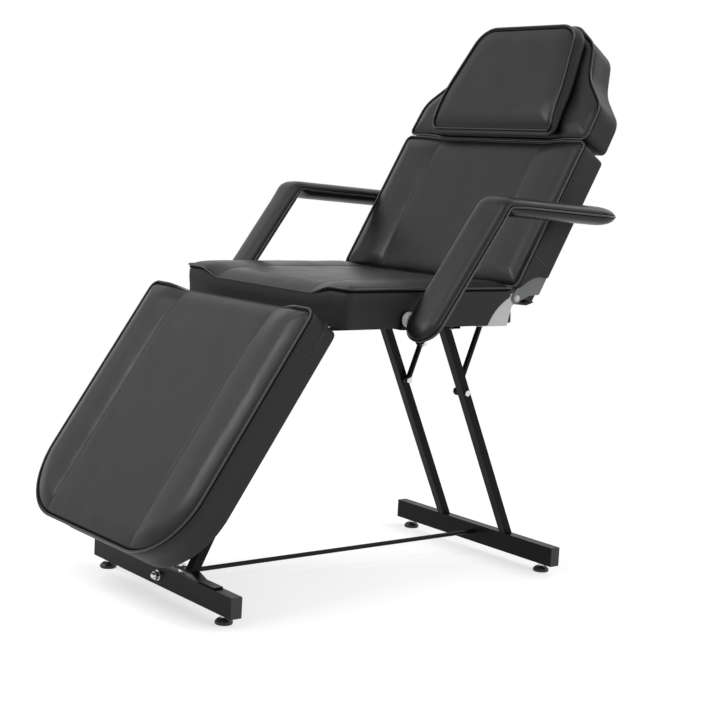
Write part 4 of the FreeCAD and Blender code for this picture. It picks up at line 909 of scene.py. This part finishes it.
def turned_ring(name, profile, centre, sign, material, body, sides=64):
    """Ring turned from a closed profile (x, radius), about a line along X through the centre."""
    turn = np.linspace(0, 2 * math.pi, sides, endpoint=False)
    radius = profile[:, 1:]
    points = np.stack([np.broadcast_to(sign * profile[:, :1], (len(profile), sides)),
                       centre[0] + radius * np.cos(turn), centre[1] + radius * np.sin(turn)], -1)
    ids = np.arange(len(profile) * sides).reshape(-1, sides)
    faces = grid_faces(np.vstack([ids, ids[:1]]), rings=True)
    piece = new_piece(name, points.reshape(-1, 3), faces, material)
    close_doubles(piece.data, 0.00001)
    piece.data.set_sharp_from_angle(angle=math.radians(40))
    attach(piece, body)


bush = np.array([(0.3082, 0.0087), (0.3082, 0.0134), (0.3086, 0.0140), (0.3150, 0.0140),
                 (0.3160, 0.0130), (0.3160, 0.0087)])
for side, sign in (("left", 1), ("right", -1)):
    turned_ring("arm_bush_" + side, bush, arm_pivot[1:], sign, white_nylon,
                side + "_arm")

# Boards: poplar plywood under each cushion. A black dust cover is stapled over the wood and
# hides it, so the boards take the cover's cloth.


def dust_cover(name):
    """Non-woven black dust cover over plywood: matt felted fibre with a bonded dot grid."""
    material, tree, shader = new_material(name)
    place = add_node(tree, "ShaderNodeTexCoord").outputs["Object"]
    fibre = add_node(tree, "ShaderNodeTexNoise", {"Vector": place, "Scale": 700.0,
                                                  "Detail": 4.0}).outputs["Fac"]
    dots = add_node(tree, "ShaderNodeTexVoronoi", {"Vector": place, "Scale": 260.0,
                                                   "Randomness": 0.1}).outputs["Distance"]
    low = add_node(tree, "ShaderNodeBump", {"Height": fibre, "Strength": 0.4,
                                            "Distance": 0.0003})
    bump = add_node(tree, "ShaderNodeBump", {"Height": dots, "Strength": 0.3,
                                             "Distance": 0.0004, "Normal": low.outputs[0]})
    tree.links.new(ramp_between(tree, fibre, "#1b1b1b", "#2b2b2b"), shader.inputs["Base Color"])
    tree.links.new(bump.outputs["Normal"], shader.inputs["Normal"])
    shader.inputs["Roughness"].default_value = 0.9
    return material


lining = dust_cover("nonwoven_dust_cover")
for node_name in ("seat_board", "back_board", "head_board", "leg_board"):
    mesh = frame["nodes"][node_name].data
    mesh.materials.clear()
    mesh.materials.append(lining)

# The photographer's room: a plain pale floor, four soft lamps and the camera at the
# photograph's angle. What the camera and the gloss see behind the chair is white.


def seen_rays(tree):
    """1 for a ray that the camera, a gloss or a glass sends out, and 0 for the light itself."""
    rays = add_node(tree, "ShaderNodeLightPath").outputs
    seen = add_node(tree, "ShaderNodeMath", {0: rays["Is Camera Ray"], 1: rays["Is Glossy Ray"]},
                    operation="MAXIMUM").outputs[0]
    return add_node(tree, "ShaderNodeMath", {0: seen, 1: rays["Is Transmission Ray"]},
                    operation="MAXIMUM").outputs[0]


def room_white(name, strength, base, plain_from, plain_to):
    """Matt white floor. It keeps the chair's shadow near the middle, and farther out, between
    the two distances, it goes over to the plain white of the room behind it."""
    material, tree, shader = new_material(name)
    shader.inputs["Base Color"].default_value = linear(base)
    shader.inputs["Roughness"].default_value = 0.9
    shader.inputs["Specular IOR Level"].default_value = 0.0
    shader.inputs["Emission Color"].default_value = (1, 1, 1, 1)
    seen = seen_rays(tree)
    glow = add_node(tree, "ShaderNodeMath", {0: seen, 1: strength}, operation="MULTIPLY")
    tree.links.new(glow.outputs[0], shader.inputs["Emission Strength"])
    place = add_node(tree, "ShaderNodeTexCoord").outputs["Object"]
    away = add_node(tree, "ShaderNodeVectorMath", {0: place}, operation="LENGTH").outputs["Value"]
    far = range_between(tree, away, plain_from, plain_to, 0.0, 1.0)
    far = add_node(tree, "ShaderNodeMath", {0: far, 1: seen}, operation="MULTIPLY")
    plain = add_node(tree, "ShaderNodeEmission", {"Color": (1, 1, 1, 1), "Strength": 1.0})
    mixed = add_node(tree, "ShaderNodeMixShader", {0: far.outputs[0], 1: shader.outputs[0],
                                                   2: plain.outputs[0]})
    tree.links.new(mixed.outputs[0], tree.nodes["Material Output"].inputs["Surface"])
    return material


floor_mesh = bpy.data.meshes.new("floor")
floor_mesh.from_pydata([(-9, -9, 0), (9, -9, 0), (9, 9, 0), (-9, 9, 0)], [], [(0, 1, 2, 3)])
floor_mesh.materials.append(room_white("floor_white", 0.60, "#f4f4f4", 0.8, 1.4))
floor = into_scene("floor", floor_mesh)

world = bpy.data.worlds.new("room")
bpy.context.scene.world = world
world.use_nodes = True
room = world.node_tree
room.nodes.clear()
dim = add_node(room, "ShaderNodeBackground", {"Color": (1, 1, 1, 1), "Strength": 0.32})
bright = add_node(room, "ShaderNodeBackground", {"Color": (1, 1, 1, 1), "Strength": 1.0})
mixed = add_node(room, "ShaderNodeMixShader", {0: seen_rays(room), 1: dim.outputs[0],
                                               2: bright.outputs[0]})
add_node(room, "ShaderNodeOutputWorld", {"Surface": mixed.outputs[0]})


def stand_at(place, right, up, back):
    """Matrix that puts a lamp or camera at a place, with its three axes along these."""
    return Matrix([[right[i], up[i], back[i], place[i]] for i in range(3)] + [[0, 0, 0, 1]])


def lamp(name, place, wide, high, power):
    """Upright soft box of this width and height at a place, turned towards the seat."""
    light = bpy.data.lights.new(name, "AREA")
    light.shape = "RECTANGLE"
    light.size = wide
    light.size_y = high
    light.energy = power
    back = np.array(place) - (0.0, 0.0, 0.7)
    back /= np.linalg.norm(back)
    right = np.cross((0.0, 0.001, 1.0), back)
    right /= np.linalg.norm(right)
    into_scene(name, light).matrix_world = stand_at(place, right, np.cross(back, right), back)


lamp("key", (-1.6, -2.75, 2.8), 1.0, 1.3, 42)
lamp("high", (0.6, -2.2, 3.8), 1.1, 1.1, 24)
lamp("fill", (3.0, 1.0, 1.7), 1.6, 1.6, 24)
lamp("back", (0.2, 2.8, 2.6), 1.4, 1.4, 14)

photo_width = 720
focal_length = 1549.0
camera_place = (2.6792, -2.0508, 0.9062)
camera_data = bpy.data.cameras.new("camera")
camera_data.sensor_width = 36.0
camera_data.lens = focal_length / photo_width * camera_data.sensor_width
camera = into_scene("camera", camera_data)
bpy.context.scene.camera = camera
yaw, pitch, roll = (math.radians(angle) for angle in (51.87, 7.31, 3.04))
ahead = np.array([-math.sin(yaw) * math.cos(pitch), math.cos(yaw) * math.cos(pitch),
                  -math.sin(pitch)])
right = np.cross(ahead, (0, 0, 1))
right /= np.linalg.norm(right)
up = np.cross(right, ahead)
right, up = (right * math.cos(roll) + up * math.sin(roll),
             up * math.cos(roll) - right * math.sin(roll))
camera.matrix_world = stand_at(camera_place, right, up, -ahead)
bpy.context.scene.view_settings.view_transform = "Standard"
